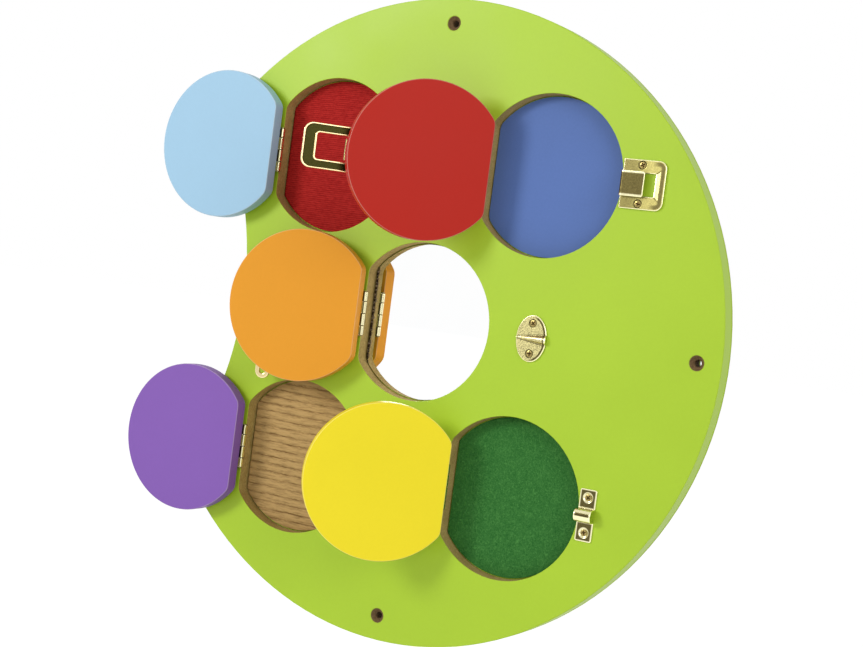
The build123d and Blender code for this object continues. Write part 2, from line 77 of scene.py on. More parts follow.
def paint_colour(red: int, green: int, blue: int) -> Colour:
    """Turn an 8-bit screen colour into linear light.

    Args:
        red: Red, 0 to 255.
        green: Green, 0 to 255.
        blue: Blue, 0 to 255.

    Returns:
        The same colour as linear values from 0 to 1.
    """
    levels = np.array([red, green, blue]) / 255.0
    linear = np.where(levels <= 0.04045, levels / 12.92, ((levels + 0.055) / 1.055) ** 2.4)
    return tuple(float(v) for v in linear)


class Shade(Enum):
    """Paints and base colours of the board, its doors and its inlays."""

    LIME = paint_colour(173, 207, 49)
    RAW_BOARD = paint_colour(200, 177, 112)
    RAW_BOARD_DARK = paint_colour(146, 122, 66)
    SKY = paint_colour(163, 201, 226)
    RED = paint_colour(192, 40, 28)
    ORANGE = paint_colour(233, 158, 48)
    PURPLE = paint_colour(136, 97, 180)
    YELLOW = paint_colour(253, 232, 46)
    # painted highlight colour for the doors' rounded edges
    EDGE_HIGHLIGHT = paint_colour(255, 244, 226)
    RIBBED_RED = paint_colour(186, 44, 40)
    # painted shade colour in the valleys of the ribs
    RIBBED_RED_SHADE = paint_colour(138, 16, 18)
    SMOOTH_BLUE = paint_colour(92, 120, 182)
    STRAW = paint_colour(196, 162, 106)
    # painted shade colour in the grooves between reeds
    STRAW_SHADE = paint_colour(104, 76, 42)
    HARDBOARD = paint_colour(88, 60, 30)
    FELT = paint_colour(76, 138, 68)
    # painted shade colour between the felt's fibres
    FELT_SHADE = paint_colour(30, 90, 36)
    BRASS = paint_colour(172, 162, 98)
    BRASS_DEEP = paint_colour(128, 114, 62)
    # painted highlight colour on the edges of pressed brass
    BRASS_HIGHLIGHT = paint_colour(250, 243, 198)
    BRASS_SOFT = paint_colour(184, 175, 122)
    # pale cream for the loop's painted highlights and most of the hook
    BRASS_CREAM = paint_colour(240, 219, 166)
    # painted shade colour on pressed brass, in its hollows, creases and shaded parts
    BRASS_SHADE = paint_colour(78, 69, 40)
    BRONZE = paint_colour(148, 130, 80)
    # painted shade colour in the screws' crosses
    BRONZE_SHADE = paint_colour(58, 44, 22)
    # painted shade colour in the loop's trough
    LOOP_SHADE = paint_colour(52, 50, 22)
    SILVER = paint_colour(254, 254, 254)
    # painted shade colour and pale specks along the mirror's straight edge
    MIRROR_EDGE_SHADE = paint_colour(58, 48, 40)
    MIRROR_EDGE_SPECK = paint_colour(176, 164, 150)
    # painted shade colours in the countersinks of the fixing holes
    SINK_SHADE_BROWN = paint_colour(132, 106, 72)
    SINK_SHADE_DARK = paint_colour(84, 62, 38)
    # painted shade colour in the bores
    BORE_SHADE = paint_colour(40, 28, 18)
    STUDIO = paint_colour(255, 255, 255)

    @property
    def rgba(self) -> Rgba:
        """The colour with full opacity."""
        return (*self.value, 1.0)


class Graph:
    """A node tree that is filled one node at a time."""

    def __init__(self, tree: Tree) -> None:
        """Keep the tree that the nodes go into."""
        self.tree = tree

    def add(self, kind: str, values: dict[Any, Any] | None = None, **settings: Any) -> bpy.types.Node:
        """Add a node, set it and wire it.

        Args:
            kind: The node's type name.
            values: Input sockets by name or number, each with a value or the socket that feeds it.
            settings: Properties of the node itself.

        Returns:
            The new node.
        """
        node = self.tree.nodes.new(kind)
        for name, value in settings.items():
            setattr(node, name, value)
        for key, value in (values or {}).items():
            if isinstance(value, Socket):
                self.tree.links.new(value, node.inputs[key])
            else:
                node.inputs[key].default_value = value
        return node

    def sums(self, operation: str, first: Any, second: Any = 0.0, clamp: bool = False) -> Socket:
        """Return the result of one Math node on two values or sockets."""
        node = self.add("ShaderNodeMath", {0: first, 1: second}, operation=operation, use_clamp=clamp)
        return node.outputs[0]

    def span(self, value: Any, low: float, high: float, start: float = 0.0, end: float = 1.0) -> Socket:
        """Return a value mapped from low..high to start..end, held at the ends."""
        names = {"Value": value, "From Min": low, "From Max": high, "To Min": start, "To Max": end}
        return self.add("ShaderNodeMapRange", names).outputs[0]

    def swing(self, noise: Any, start: float, end: float) -> Socket:
        """Return the usual range of a noise mapped to start..end."""
        return self.span(noise, NOISE_LOW, NOISE_HIGH, start, end)

    def blend(self, share: Any, first: Any, second: Any) -> Socket:
        """Return a mix of two colours."""
        return self.add("ShaderNodeMix", {0: share, 6: first, 7: second}, data_type="RGBA").outputs[2]

    def between(self, share: Any, first: Any, second: Any) -> Socket:
        """Return a mix of two values."""
        return self.add("ShaderNodeMix", {0: share, 2: first, 3: second}).outputs[0]

    def scaled(self, colour: Any, level: Any) -> Socket:
        """Return a colour multiplied by a level."""
        return self.add("ShaderNodeVectorMath", {0: colour, 3: level}, operation="SCALE").outputs[0]

    def noise(self, place: Any, scale: float, detail: float = 2.0, rough: float = 0.5) -> Socket:
        """Return the value of a noise texture at a place."""
        names = {"Vector": place, "Scale": scale, "Detail": detail, "Roughness": rough}
        return self.add("ShaderNodeTexNoise", names).outputs["Fac"]

    def place(self) -> Socket:
        """Return Object coordinates."""
        return self.add("ShaderNodeTexCoord").outputs["Object"]

    def stretched(self, scale: Corner = (1.0, 1.0, 1.0)) -> Socket:
        """Return Object coordinates multiplied by a scale along each axis."""
        return self.add("ShaderNodeMapping", {"Vector": self.place(), "Scale": scale}).outputs[0]

    def axis(self, number: int) -> Socket:
        """Return one of the Object coordinates."""
        return self.add("ShaderNodeSeparateXYZ", {0: self.place()}).outputs[number]

    def level(self, name: str) -> Socket:
        """Return a level that is kept in the mesh."""
        return self.add("ShaderNodeAttribute", attribute_name=name).outputs["Fac"]

    def effect(self, tree: Tree, **values: Any) -> bpy.types.NodeOutputs:
        """Place a shared group with its own values and return its outputs."""
        return self.add("ShaderNodeGroup", values, node_tree=tree).outputs


class Effects:
    """Node groups that several finishes share, each built once and with the same three outputs."""

    def __init__(self) -> None:
        """Start with no group built."""
        self.built: dict[str, Tree] = {}

    def group(self, name: str, inputs: dict[str, Any],
              fill: Callable[[Graph, Any], tuple[Socket, ...]]) -> Tree:
        """Build a node group, or return it when it is there.

        Args:
            name: The group's name.
            inputs: Input sockets by name with their first values.
            fill: Called with the graph and the input node's sockets, returns colour, roughness and height.

        Returns:
            The node group.
        """
        if name in self.built:
            return self.built[name]
        tree = bpy.data.node_groups.new(name, "ShaderNodeTree")
        for key, value in inputs.items():
            kind = "NodeSocketColor" if isinstance(value, tuple) else "NodeSocketFloat"
            tree.interface.new_socket(key, in_out="INPUT", socket_type=kind).default_value = value
        for key in ("Colour", "Roughness", "Height"):
            kind = "NodeSocketColor" if key == "Colour" else "NodeSocketFloat"
            tree.interface.new_socket(key, in_out="OUTPUT", socket_type=kind)
        results = fill(Graph(tree), tree.nodes.new("NodeGroupInput").outputs)
        end = tree.nodes.new("NodeGroupOutput")
        for number, socket in enumerate(results):
            tree.links.new(socket, end.inputs[number])
        self.built[name] = tree
        return tree

    def paint_skin(self) -> Tree:
        """Return the group of a rolled paint film: slow shifts of tone, fine peel and uneven gloss."""
        def fill(graph: Graph, given: Any) -> tuple[Socket, ...]:
            """Return the film's outputs."""
            place = graph.stretched()
            cloud, speck = graph.noise(place, 9.0, 3.0), graph.noise(place, 420.0)
            tone = graph.sums("ADD", graph.swing(cloud, -1.0, 1.0), graph.swing(speck, -0.35, 0.35))
            level = graph.sums("ADD", graph.sums("MULTIPLY", tone, given["Mottle"]), 1.0)
            gloss = graph.sums("ADD", given["Gloss"], graph.swing(cloud, -0.05, 0.05))
            return graph.scaled(given["Tint"], level), gloss, graph.noise(place, 700.0, 1.0)
        return self.group("paint skin", {"Tint": Shade.STUDIO.rgba, "Mottle": 0.03, "Gloss": 0.4}, fill)

    def pressed_fibre(self) -> Tree:
        """Return the group of raw fibreboard: two browns in fine flecks and cut fibres."""
        def fill(graph: Graph, given: Any) -> tuple[Socket, ...]:
            """Return the fibreboard's outputs."""
            flecks = graph.noise(graph.stretched((1.0, 3.0, 1.0)), 520.0, 4.0, 0.7)
            cloud = graph.noise(graph.stretched(), 60.0)
            share = graph.sums("ADD", graph.span(flecks, 0.36, 0.66, 0.0, 0.8), graph.swing(cloud, -0.1, 0.2))
            return graph.blend(share, given["Dark"], given["Light"]), graph.swing(flecks, 0.9, 0.75), flecks
        inputs = {"Light": Shade.RAW_BOARD.rgba, "Dark": Shade.RAW_BOARD_DARK.rgba}
        return self.group("pressed fibre", inputs, fill)

    def plated_grain(self) -> Tree:
        """Return the group of tumbled brass plate: pits and flecks of a deeper tone, with uneven polish."""
        def fill(graph: Graph, given: Any) -> tuple[Socket, ...]:
            """Return the plate's outputs."""
            place = graph.stretched()
            grit, cloud = graph.noise(place, 1300.0, 3.0, 0.65), graph.noise(place, 160.0)
            share = graph.sums("ADD", graph.span(grit, 0.42, 0.62, 0.0, 0.75), graph.swing(cloud, -0.15, 0.3))
            gloss = graph.sums("ADD", given["Gloss"], graph.swing(grit, 0.1, -0.06))
            return graph.blend(share, given["Deep"], given["Bright"]), gloss, grit
        inputs = {"Bright": Shade.BRASS.rgba, "Deep": Shade.BRASS_DEEP.rgba, "Gloss": 0.3}
        return self.group("plated grain", inputs, fill)


EFFECTS = Effects()


@dataclass(frozen=True)
class Coat:
    """What a finish feeds its shader: three sockets, the bump's depth in metres and plain levels."""

    colour: Socket
    gloss: Socket
    height: Socket
    depth: float
    strength: float = 0.3
    specular: float = 0.5
    metallic: float = 0.0


@dataclass(frozen=True)
class Finish:
    """A finish that makes one material."""

    name: str

    def start(self) -> tuple[bpy.types.Material, Graph, bpy.types.Node]:
        """Return a new material, its graph and its Principled shader, wired to the output."""
        material = bpy.data.materials.new(self.name)
        material.use_nodes = True
        return material, Graph(material.node_tree), material.node_tree.nodes["Principled BSDF"]

    def coat(self, graph: Graph) -> Coat:
        """Return what feeds the shader, which each finish says for itself."""
        raise NotImplementedError

    def material(self) -> bpy.types.Material:
        """Return the finish's material, with its coat wired to the shader."""
        material, graph, shader = self.start()
        coat = self.coat(graph)
        relief = {"Height": coat.height, "Distance": coat.depth, "Strength": coat.strength}
        bump = graph.add("ShaderNodeBump", relief)
        fed = {"Base Color": coat.colour, "Roughness": coat.gloss, "Normal": bump.outputs[0]}
        for key, socket in fed.items():
            graph.tree.links.new(socket, shader.inputs[key])
        shader.inputs["Specular IOR Level"].default_value = coat.specular
        shader.inputs["Metallic"].default_value = coat.metallic
        return material


@dataclass(frozen=True)
class SatinPaint(Finish):
    """Satin paint on a door, smooth over the rounded edges, with a painted highlight along them."""

    shade: Shade
    gloss: float = 0.42
    mottle: float = 0.02
    # share of the painted highlight on the rounded edges
    edge_highlight: float = 0.2
    edge_gloss: float = 0.14

    def coat(self, graph: Graph) -> Coat:
        """Return the paint's coat, whose rim level, kept in the mesh, paints a highlight on the rounded
        edges.
        """
        skin = graph.effect(EFFECTS.paint_skin(), Tint=self.shade.rgba, Mottle=self.mottle, Gloss=self.gloss)
        rim = graph.level("rim")
        # painted highlight: the rim level blends the rounded edges towards a pale colour
        colour = graph.blend(graph.sums("MULTIPLY", rim, self.edge_highlight), skin["Colour"], Shade.EDGE_HIGHLIGHT.rgba)
        gloss = graph.sums("SUBTRACT", skin["Roughness"], graph.sums("MULTIPLY", rim, self.edge_gloss))
        return Coat(colour, gloss, skin["Height"], 0.04 * MM, specular=PAINT_SPECULAR)


@dataclass(frozen=True)
class BoardPaint(Finish):
    """Lime paint on the faces and rim of the board, with raw fibreboard where it is cut through."""

    openings: tuple[Spot, ...]
    holes: tuple[Spot, ...]
    opening_radius: float = 72.2 * MM
    sink_radius: float = 7.1 * MM
    bore_radius: float = 3.1 * MM
    lip: float = 0.4 * MM
    paint_ends: Spot = (0.2 * MM, 0.7 * MM)

    def cut_mask(self, graph: Graph, spots: tuple[Spot, ...], radius: float) -> Socket:
        """Return a mask that is 1 on the walls of round cuts.

        Args:
            graph: The material's graph.
            spots: Centre across and centre up of each cut, in metres.
            radius: Radius of the cuts.

        Returns:
            The mask.
        """
        best: Any = 1.0
        level = {0: graph.place(), 1: (1.0, 0.0, 1.0)}
        flat = graph.add("ShaderNodeVectorMath", level, operation="MULTIPLY").outputs[0]
        for x, z in spots:
            far = graph.add("ShaderNodeVectorMath", {0: flat, 1: (x, 0.0, z)}, operation="DISTANCE")
            best = graph.sums("MINIMUM", best, graph.sums("SUBTRACT", far.outputs["Value"], radius))
        inside = graph.span(best, 0.0, -self.lip)
        start, end = self.paint_ends
        return graph.sums("MULTIPLY", inside, graph.span(graph.axis(1), FACE_Y + start, FACE_Y + end))

    def coat(self, graph: Graph) -> Coat:
        """Return the board's coat."""
        skin = graph.effect(EFFECTS.paint_skin(), Tint=Shade.LIME.rgba, Mottle=BOARD_MOTTLE,
                            Gloss=BOARD_GLOSS)
        raw = graph.effect(EFFECTS.pressed_fibre())
        # painted shade: countersinks take darker browns than the opening walls and bores a near-black
        sink_shade = graph.effect(EFFECTS.pressed_fibre(), Light=Shade.SINK_SHADE_BROWN.rgba, Dark=Shade.SINK_SHADE_DARK.rgba)
        sinks = self.cut_mask(graph, self.holes, self.sink_radius)
        bores = self.cut_mask(graph, self.holes, self.bore_radius)
        cut = graph.sums("MAXIMUM", self.cut_mask(graph, self.openings, self.opening_radius), sinks)
        bare = graph.blend(sinks, raw["Colour"], graph.blend(bores, sink_shade["Colour"], Shade.BORE_SHADE.rgba))
        gloss = graph.between(cut, skin["Roughness"], raw["Roughness"])
        height = graph.between(cut, skin["Height"], raw["Height"])
        return Coat(graph.blend(cut, skin["Colour"], bare), gloss, height, 0.05 * MM, specular=BOARD_SPECULAR)


@dataclass(frozen=True)
class PanelBoard(Finish):
    """Thin hardboard behind the board, brown on its back and painted on its rim."""

    bare_depth: float = 0.4 * MM
    paint_depth: float = 0.6 * MM

    def coat(self, graph: Graph) -> Coat:
        """Return the panel's coat."""
        browns = {"Light": Shade.HARDBOARD.rgba, "Dark": Shade.RAW_BOARD_DARK.rgba}
        raw = graph.effect(EFFECTS.pressed_fibre(), **browns)
        skin = graph.effect(EFFECTS.paint_skin(), Tint=Shade.LIME.rgba, Mottle=BOARD_MOTTLE,
                            Gloss=BOARD_GLOSS)
        edge = graph.span(graph.axis(1), -self.bare_depth, -self.paint_depth)
        colour = graph.blend(edge, raw["Colour"], skin["Colour"])
        return Coat(colour, raw["Roughness"], raw["Height"], 0.06 * MM, 0.4)


@dataclass(frozen=True)
class PlatedBrass(Finish):
    """Brass plate on the catches, pins and screws."""

    bright: Shade = Shade.BRASS_SOFT
    deep: Shade = Shade.BRASS_DEEP
    gloss: float = 0.28

    def coat(self, graph: Graph) -> Coat:
        """Return the plate's coat."""
        tones = {"Bright": self.bright.rgba, "Deep": self.deep.rgba}
        grain = graph.effect(EFFECTS.plated_grain(), Gloss=self.gloss, **tones)
        return Coat(grain["Colour"], grain["Roughness"], grain["Height"], 0.05 * MM, 0.35, metallic=1.0)


@dataclass(frozen=True)
class RimmedBrass(Finish):
    """Pressed brass, grained, with painted shade from the hollow level and painted highlights from the rim
    level.
    """

    bright: Shade = Shade.BRASS_HIGHLIGHT
    face: Shade = Shade.BRASS
    deep: Shade = Shade.BRASS_SHADE
    gloss: float = 0.3
    grain: float = 0.3
    edge_gloss: float = 0.12

    def coat(self, graph: Graph) -> Coat:
        """Return the pressed coat, which reads the rim and hollow levels kept in the mesh."""
        tones = {"Bright": self.face.rgba, "Deep": self.face.rgba}
        grain = graph.effect(EFFECTS.plated_grain(), Gloss=self.gloss, **tones)
        rim = graph.level("rim")
        # painted shade: the hollow level darkens the face towards the deep colour
        tone = graph.blend(graph.level("hollow"), self.face.rgba, self.deep.rgba)
        # the face with its painted shade, lightened and darkened by the tumbled grain
        shade_and_wear = graph.scaled(tone, graph.span(grain["Height"], 0.36, 0.64, 1.0 - self.grain, 1.0 + self.grain))
        gloss = graph.sums("SUBTRACT", grain["Roughness"], graph.sums("MULTIPLY", rim, self.edge_gloss))
        # painted highlight: the rim level lightens the edges towards the bright colour
        return Coat(graph.blend(rim, shade_and_wear, self.bright.rgba), gloss, grain["Height"], 0.05 * MM, metallic=1.0)


@dataclass(frozen=True)
class MirrorSheet(Finish):
    """Silvered sheet with the faintest haze and a band of painted shade along its straight edge, with pale
    specks.
    """

    left: float
    # width of the painted shade band along the straight edge
    shade_and_wear: float = 2.8 * MM

    def coat(self, graph: Graph) -> Coat:
        """Return the mirror's coat."""
        haze = graph.noise(graph.stretched(), 35.0)
        bites = graph.noise(graph.stretched((0.4, 1.0, 1.0)), 700.0, 3.0, 0.7)
        inward = graph.sums("SUBTRACT", graph.axis(0), self.left)
        edge = graph.sums("DIVIDE", inward, graph.swing(bites, 0.5 * self.shade_and_wear, 1.5 * self.shade_and_wear))
        silver = graph.span(edge, 0.85, 1.1)
        tone = graph.blend(graph.swing(haze, 0.0, 0.015), Shade.SILVER.rgba, Shade.SKY.rgba)
        # painted shade along the straight edge, flecked with pale specks
        edge_band = graph.blend(graph.span(bites, 0.5, 0.62), Shade.MIRROR_EDGE_SHADE.rgba, Shade.MIRROR_EDGE_SPECK.rgba)
        gloss = graph.sums("ADD", graph.swing(haze, 0.0, 0.02), graph.span(silver, 0.0, 1.0, 0.5, 0.0))
        return Coat(graph.blend(silver, edge_band, tone), gloss, haze, 0.01 * MM, 0.02, metallic=1.0)


@dataclass(frozen=True)
class SmoothSheet(Finish):
    """Smooth satin sheet with a faint pebble."""

    shade: Shade
    mottle: float = 0.05
    gloss: float = 0.5

    def coat(self, graph: Graph) -> Coat:
        """Return the smooth sheet's coat."""
        skin = graph.effect(EFFECTS.paint_skin(), Tint=self.shade.rgba, Mottle=self.mottle, Gloss=self.gloss)
        return Coat(skin["Colour"], skin["Roughness"], skin["Height"], 0.06 * MM, specular=PAINT_SPECULAR)


@dataclass(frozen=True)
class CordedSheet(Finish):
    """Sheet whose valleys carry painted shade, from the rim level kept in the mesh."""

    crest: Shade
    valley: Shade
    streaks: Corner = (1.0, 1.0, 1.0)
    streak_scale: float = 300.0
    streak_share: float = 0.3
    gloss: float = 0.7
    gloss_swing: float = 0.1

    def coat(self, graph: Graph) -> Coat:
        """Return the corded sheet's coat."""
        streak = graph.noise(graph.stretched(self.streaks), self.streak_scale, 4.0, 0.7)
        shift = graph.swing(streak, -self.streak_share, self.streak_share)
        # painted shade: valleys take the darker colour and crests the lighter, shifted by streaks
        share = graph.sums("ADD", graph.level("rim"), shift, True)
        colour = graph.blend(share, self.valley.rgba, self.crest.rgba)
        gloss = graph.swing(streak, self.gloss + self.gloss_swing, self.gloss - self.gloss_swing)
        return Coat(colour, gloss, streak, 0.1 * MM, 0.5, specular=SHEET_SPECULAR)


def eased(value: Array, low: float, high: float) -> Array:
    """Return a smooth step from 0 at low to 1 at high."""
    share = np.clip((value - low) / (high - low), 0.0, 1.0)
    return share * share * (3 - 2 * share)


def band(value: Array, rise: Spot, fall: Spot) -> Array:
    """Return a level that rises smoothly over one span and falls over another."""
    return eased(value, *rise) * (1 - eased(value, *fall))


def line(value: Array, full: float, none: float) -> Array:
    """Return a level that is 1 while a value is near 0 and fades to 0 on both sides."""
    return 1 - eased(np.abs(value), full, none)


def most(*levels: Array) -> Array:
    """Return the greatest of several levels at each place, held between 0 and 1."""
    return np.clip(np.max(np.broadcast_arrays(*levels), axis=0), 0.0, 1.0)


def around(count: int) -> Array:
    """Return angles spaced evenly round a full turn."""
    return np.linspace(0, 2 * pi, count, endpoint=False)


def flat(x: Array, y: Array, height: Array) -> Array:
    """Leave a plate's height as it is."""
    return height


def plain(*places: Array) -> Array:
    """Return 0 at every place."""
    return places[0] * 0.0


def quarter_round(depth: Array, radius: float) -> Array:
    """Return how far a rounded edge lies under its face at a depth from the edge, as a height below 0."""
    short = np.maximum(radius - depth, 0.0)
    return np.sqrt(np.maximum(radius ** 2 - short ** 2, 0.0)) - radius


@dataclass(frozen=True)
class HingeLine:
    """The line a door turns about and how far the door stands open, in metres and degrees."""

    x: float
    z: float
    opened: float
    out: float = 2.5 * MM

    def carry(self, places: Array) -> Array:
        """Swing places on the closed door to where the door stands.

        The reach and the height above the hinge line turn by the opening angle in the level plane.

        Args:
            places: Reach from the hinge line, rise above its middle and height above the face.

        Returns:
            The places in the shared frame.
        """
        turn = radians(self.opened)
        reach, rise, height = np.moveaxis(places * MM, -1, 0)
        off = height - self.out
        x = self.x + reach * cos(turn) - off * sin(turn)
        y = FACE_Y - self.out - reach * sin(turn) - off * cos(turn)
        return np.stack([x, y, self.z + rise], axis=-1)


@dataclass(frozen=True)
class Opening:
    """One D-shaped opening: its door's colour, its centre, its inlay and how far its door stands open."""

    colour: str
    x: float
    z: float
    inlay: str
    opened: float

    def hinge(self, opened: float | None = None) -> HingeLine:
        """Return the hinge line of the door, as it stands or at another angle."""
        angle = self.opened if opened is None else opened
        return HingeLine(self.x - AXIS_FROM_CENTRE * MM, self.z, angle)


@dataclass(frozen=True)
class FaceSpot:
    """A spot on the face of the board, in metres."""

    x: float
    z: float

    def carry(self, places: Array) -> Array:
        """Return places given as right, up and out of the face, in the shared frame."""
        right, up, out = np.moveaxis(places * MM, -1, 0)
        return np.stack([self.x + right, FACE_Y - out, self.z + up], axis=-1)


class Skin:
    """Patches of grid points gathered into one mesh, each with rim and hollow levels that paint light and
    shade.
    """

    def __init__(self) -> None:
        """Start empty."""
        self.points: list[Array] = []
        self.rims: list[Array] = []
        self.hollows: list[Array] = []
        self.faces: list[list[int]] = []
        self.count = 0

    def grid(self, places: Array, rim: Any, rows_close: bool, columns_close: bool,
             hollow: Any = 0.0) -> Array:
        """Add a patch whose outside is rows cross columns.

        Args:
            places: Points by row and column.
            rim: Rim level of each point, 0 on a face and 1 on an edge with a painted highlight.
            rows_close: Whether the last row joins the first.
            columns_close: Whether the last column joins the first.
            hollow: Hollow level of each point, 1 where the painted shade is darkest.

        Returns:
            The index of each point.
        """
        rows, columns = places.shape[:2]
        index = self.count + np.arange(rows * columns).reshape(rows, columns)
        down = np.concatenate([index, index[:1]]) if rows_close else index
        full = np.concatenate([down, down[:, :1]], axis=1) if columns_close else down
        quads = np.stack([full[:-1, :-1], full[1:, :-1], full[1:, 1:], full[:-1, 1:]], axis=-1)
        self.points.append(places.reshape(-1, 3))
        self.rims.append(np.broadcast_to(rim, (rows, columns)).reshape(-1))
        self.hollows.append(np.broadcast_to(hollow, (rows, columns)).reshape(-1))
        self.faces += quads.reshape(-1, 4).tolist()
        self.count += rows * columns
        return index

    def tube(self, places: Array, rim: Any, hollow: Any = 0.0) -> None:
        """Add a patch whose columns close, with a face over its first and its last row."""
        index = self.grid(places, rim, False, True, hollow)
        self.faces += [index[0].tolist(), index[-1, ::-1].tolist()]

    def lid(self, places: Array, rim: Any, hollow: Any = 0.0) -> None:
        """Add a patch whose rows close, with a face over its first and its last column."""
        index = self.grid(places, rim, True, False, hollow)
        self.faces += [index[:, -1].tolist(), index[::-1, 0].tolist()]

    def piece(self, name: str, carry: Carry) -> bpy.types.Object:
        """Return the gathered mesh as an object, with its points carried into the shared frame."""
        mesh = bpy.data.meshes.new(name)
        mesh.from_pydata(carry(np.concatenate(self.points)).tolist(), [], self.faces)
        mesh.update()
        for key, levels in (("rim", self.rims), ("hollow", self.hollows)):
            kept = mesh.attributes.new(key, "FLOAT", "POINT")
            kept.data.foreach_set("value", np.concatenate(levels).astype(np.float32))
        mesh.polygons.foreach_set("use_smooth", np.ones(len(mesh.polygons), dtype=bool))
        thing = bpy.data.objects.new(name, mesh)
        bpy.context.scene.collection.objects.link(thing)
        return thing

    def stand_in(self, node: str, ending: str, carry: Carry, body: str, finish: Finish,
                 slot: str = "brass_fittings") -> None:
        """Make the mesh the piece that stands for a CAD node.

        Args:
            node: The node that it stands for.
            ending: What its own name adds to the node's.
            carry: Carries it into the shared frame.
            body: The body that it rides on.
            finish: Its finish.
            slot: Not used.
        """
        piece = self.piece(f"{node}_{ending}", carry)
        piece.data.materials.append(finish.material())
        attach(piece, body)
        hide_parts(node)
        LOG.info("%s: %d faces", piece.name, len(piece.data.polygons))


class Grit:
    """Repeatable smooth noise on a plane."""

    size = 64

    def __init__(self, seed: int) -> None:
        """Draw the lattice of random levels."""
        self.lattice = np.random.default_rng(seed).random((self.size, self.size))

    def at(self, x: Array, z: Array, cell: float) -> Array:
        """Return noise from -1 to 1: lattice levels blended by smooth steps between cell corners.

        Args:
            x: First coordinate.
            z: Second coordinate.
            cell: Size of a cell.

        Returns:
            The noise at each place.
        """
        u, v = np.broadcast_arrays(x / cell, z / cell)
        column, row = np.floor(u).astype(int), np.floor(v).astype(int)
        across, up = eased(u - column, 0.0, 1.0), eased(v - row, 0.0, 1.0)

        def level(step_column: int, step_row: int) -> Array:
            """Return the lattice level at a corner of the cell."""
            return self.lattice[(column + step_column) % self.size, (row + step_row) % self.size]
        low = level(0, 0) * (1 - across) + level(1, 0) * across
        high = level(0, 1) * (1 - across) + level(1, 1) * across
        return 2 * (low * (1 - up) + high * up) - 1


@dataclass
class InlaySheet:
    """A D-shaped sheet on the floor of an opening, as a height over rows and columns, in metres."""

    opening: Opening
    rows: int
    columns: int
    relief: Levels
    depth: float
    edge_share: float = 0.9995

    def build(self) -> Skin:
        """Build the closed sheet, its outline and its two faces taken from the CAD sheet.

        Columns run evenly in height from bottom to top. Rows run from the left end, which is the chord or the
        circle, to the right end on the circle, with one row more at each end on the rear. The front face lies
        at the top of the sheet, lowered by depth times one minus the relief, which is 0 in a valley and 1 on
        a crest. The relief is kept as the rim level.

        Returns:
            The sheet's mesh.
        """
        low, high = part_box(self.opening.inlay)
        radius = high[2] - self.opening.z
        z = radius * self.edge_share * np.linspace(-1.0, 1.0, self.rows)[None, :]
        half = np.sqrt(np.maximum(radius ** 2 - z ** 2, 0.0))
        start = np.maximum(-half, low[0] - self.opening.x)
        x = start + (half - start) * np.linspace(0.0, 1.0, self.columns)[:, None]
        z = np.broadcast_to(z, x.shape)
        crest = np.clip(self.relief(x, z), 0.0, 1.0)
        front = np.stack([x, low[1] + self.depth * (1 - crest), z], axis=-1)
        rear = front[[0, -1]]
        rear[..., 1] = high[1]
        places = np.concatenate([rear[:1], front, rear[1:]]) + np.array([self.opening.x, 0.0, self.opening.z])
        skin = Skin()
        # the crest level, kept as the rim level, sets the painted shade in the valleys
        skin.lid(places, np.pad(crest, ((1, 1), (0, 0))))
        return skin


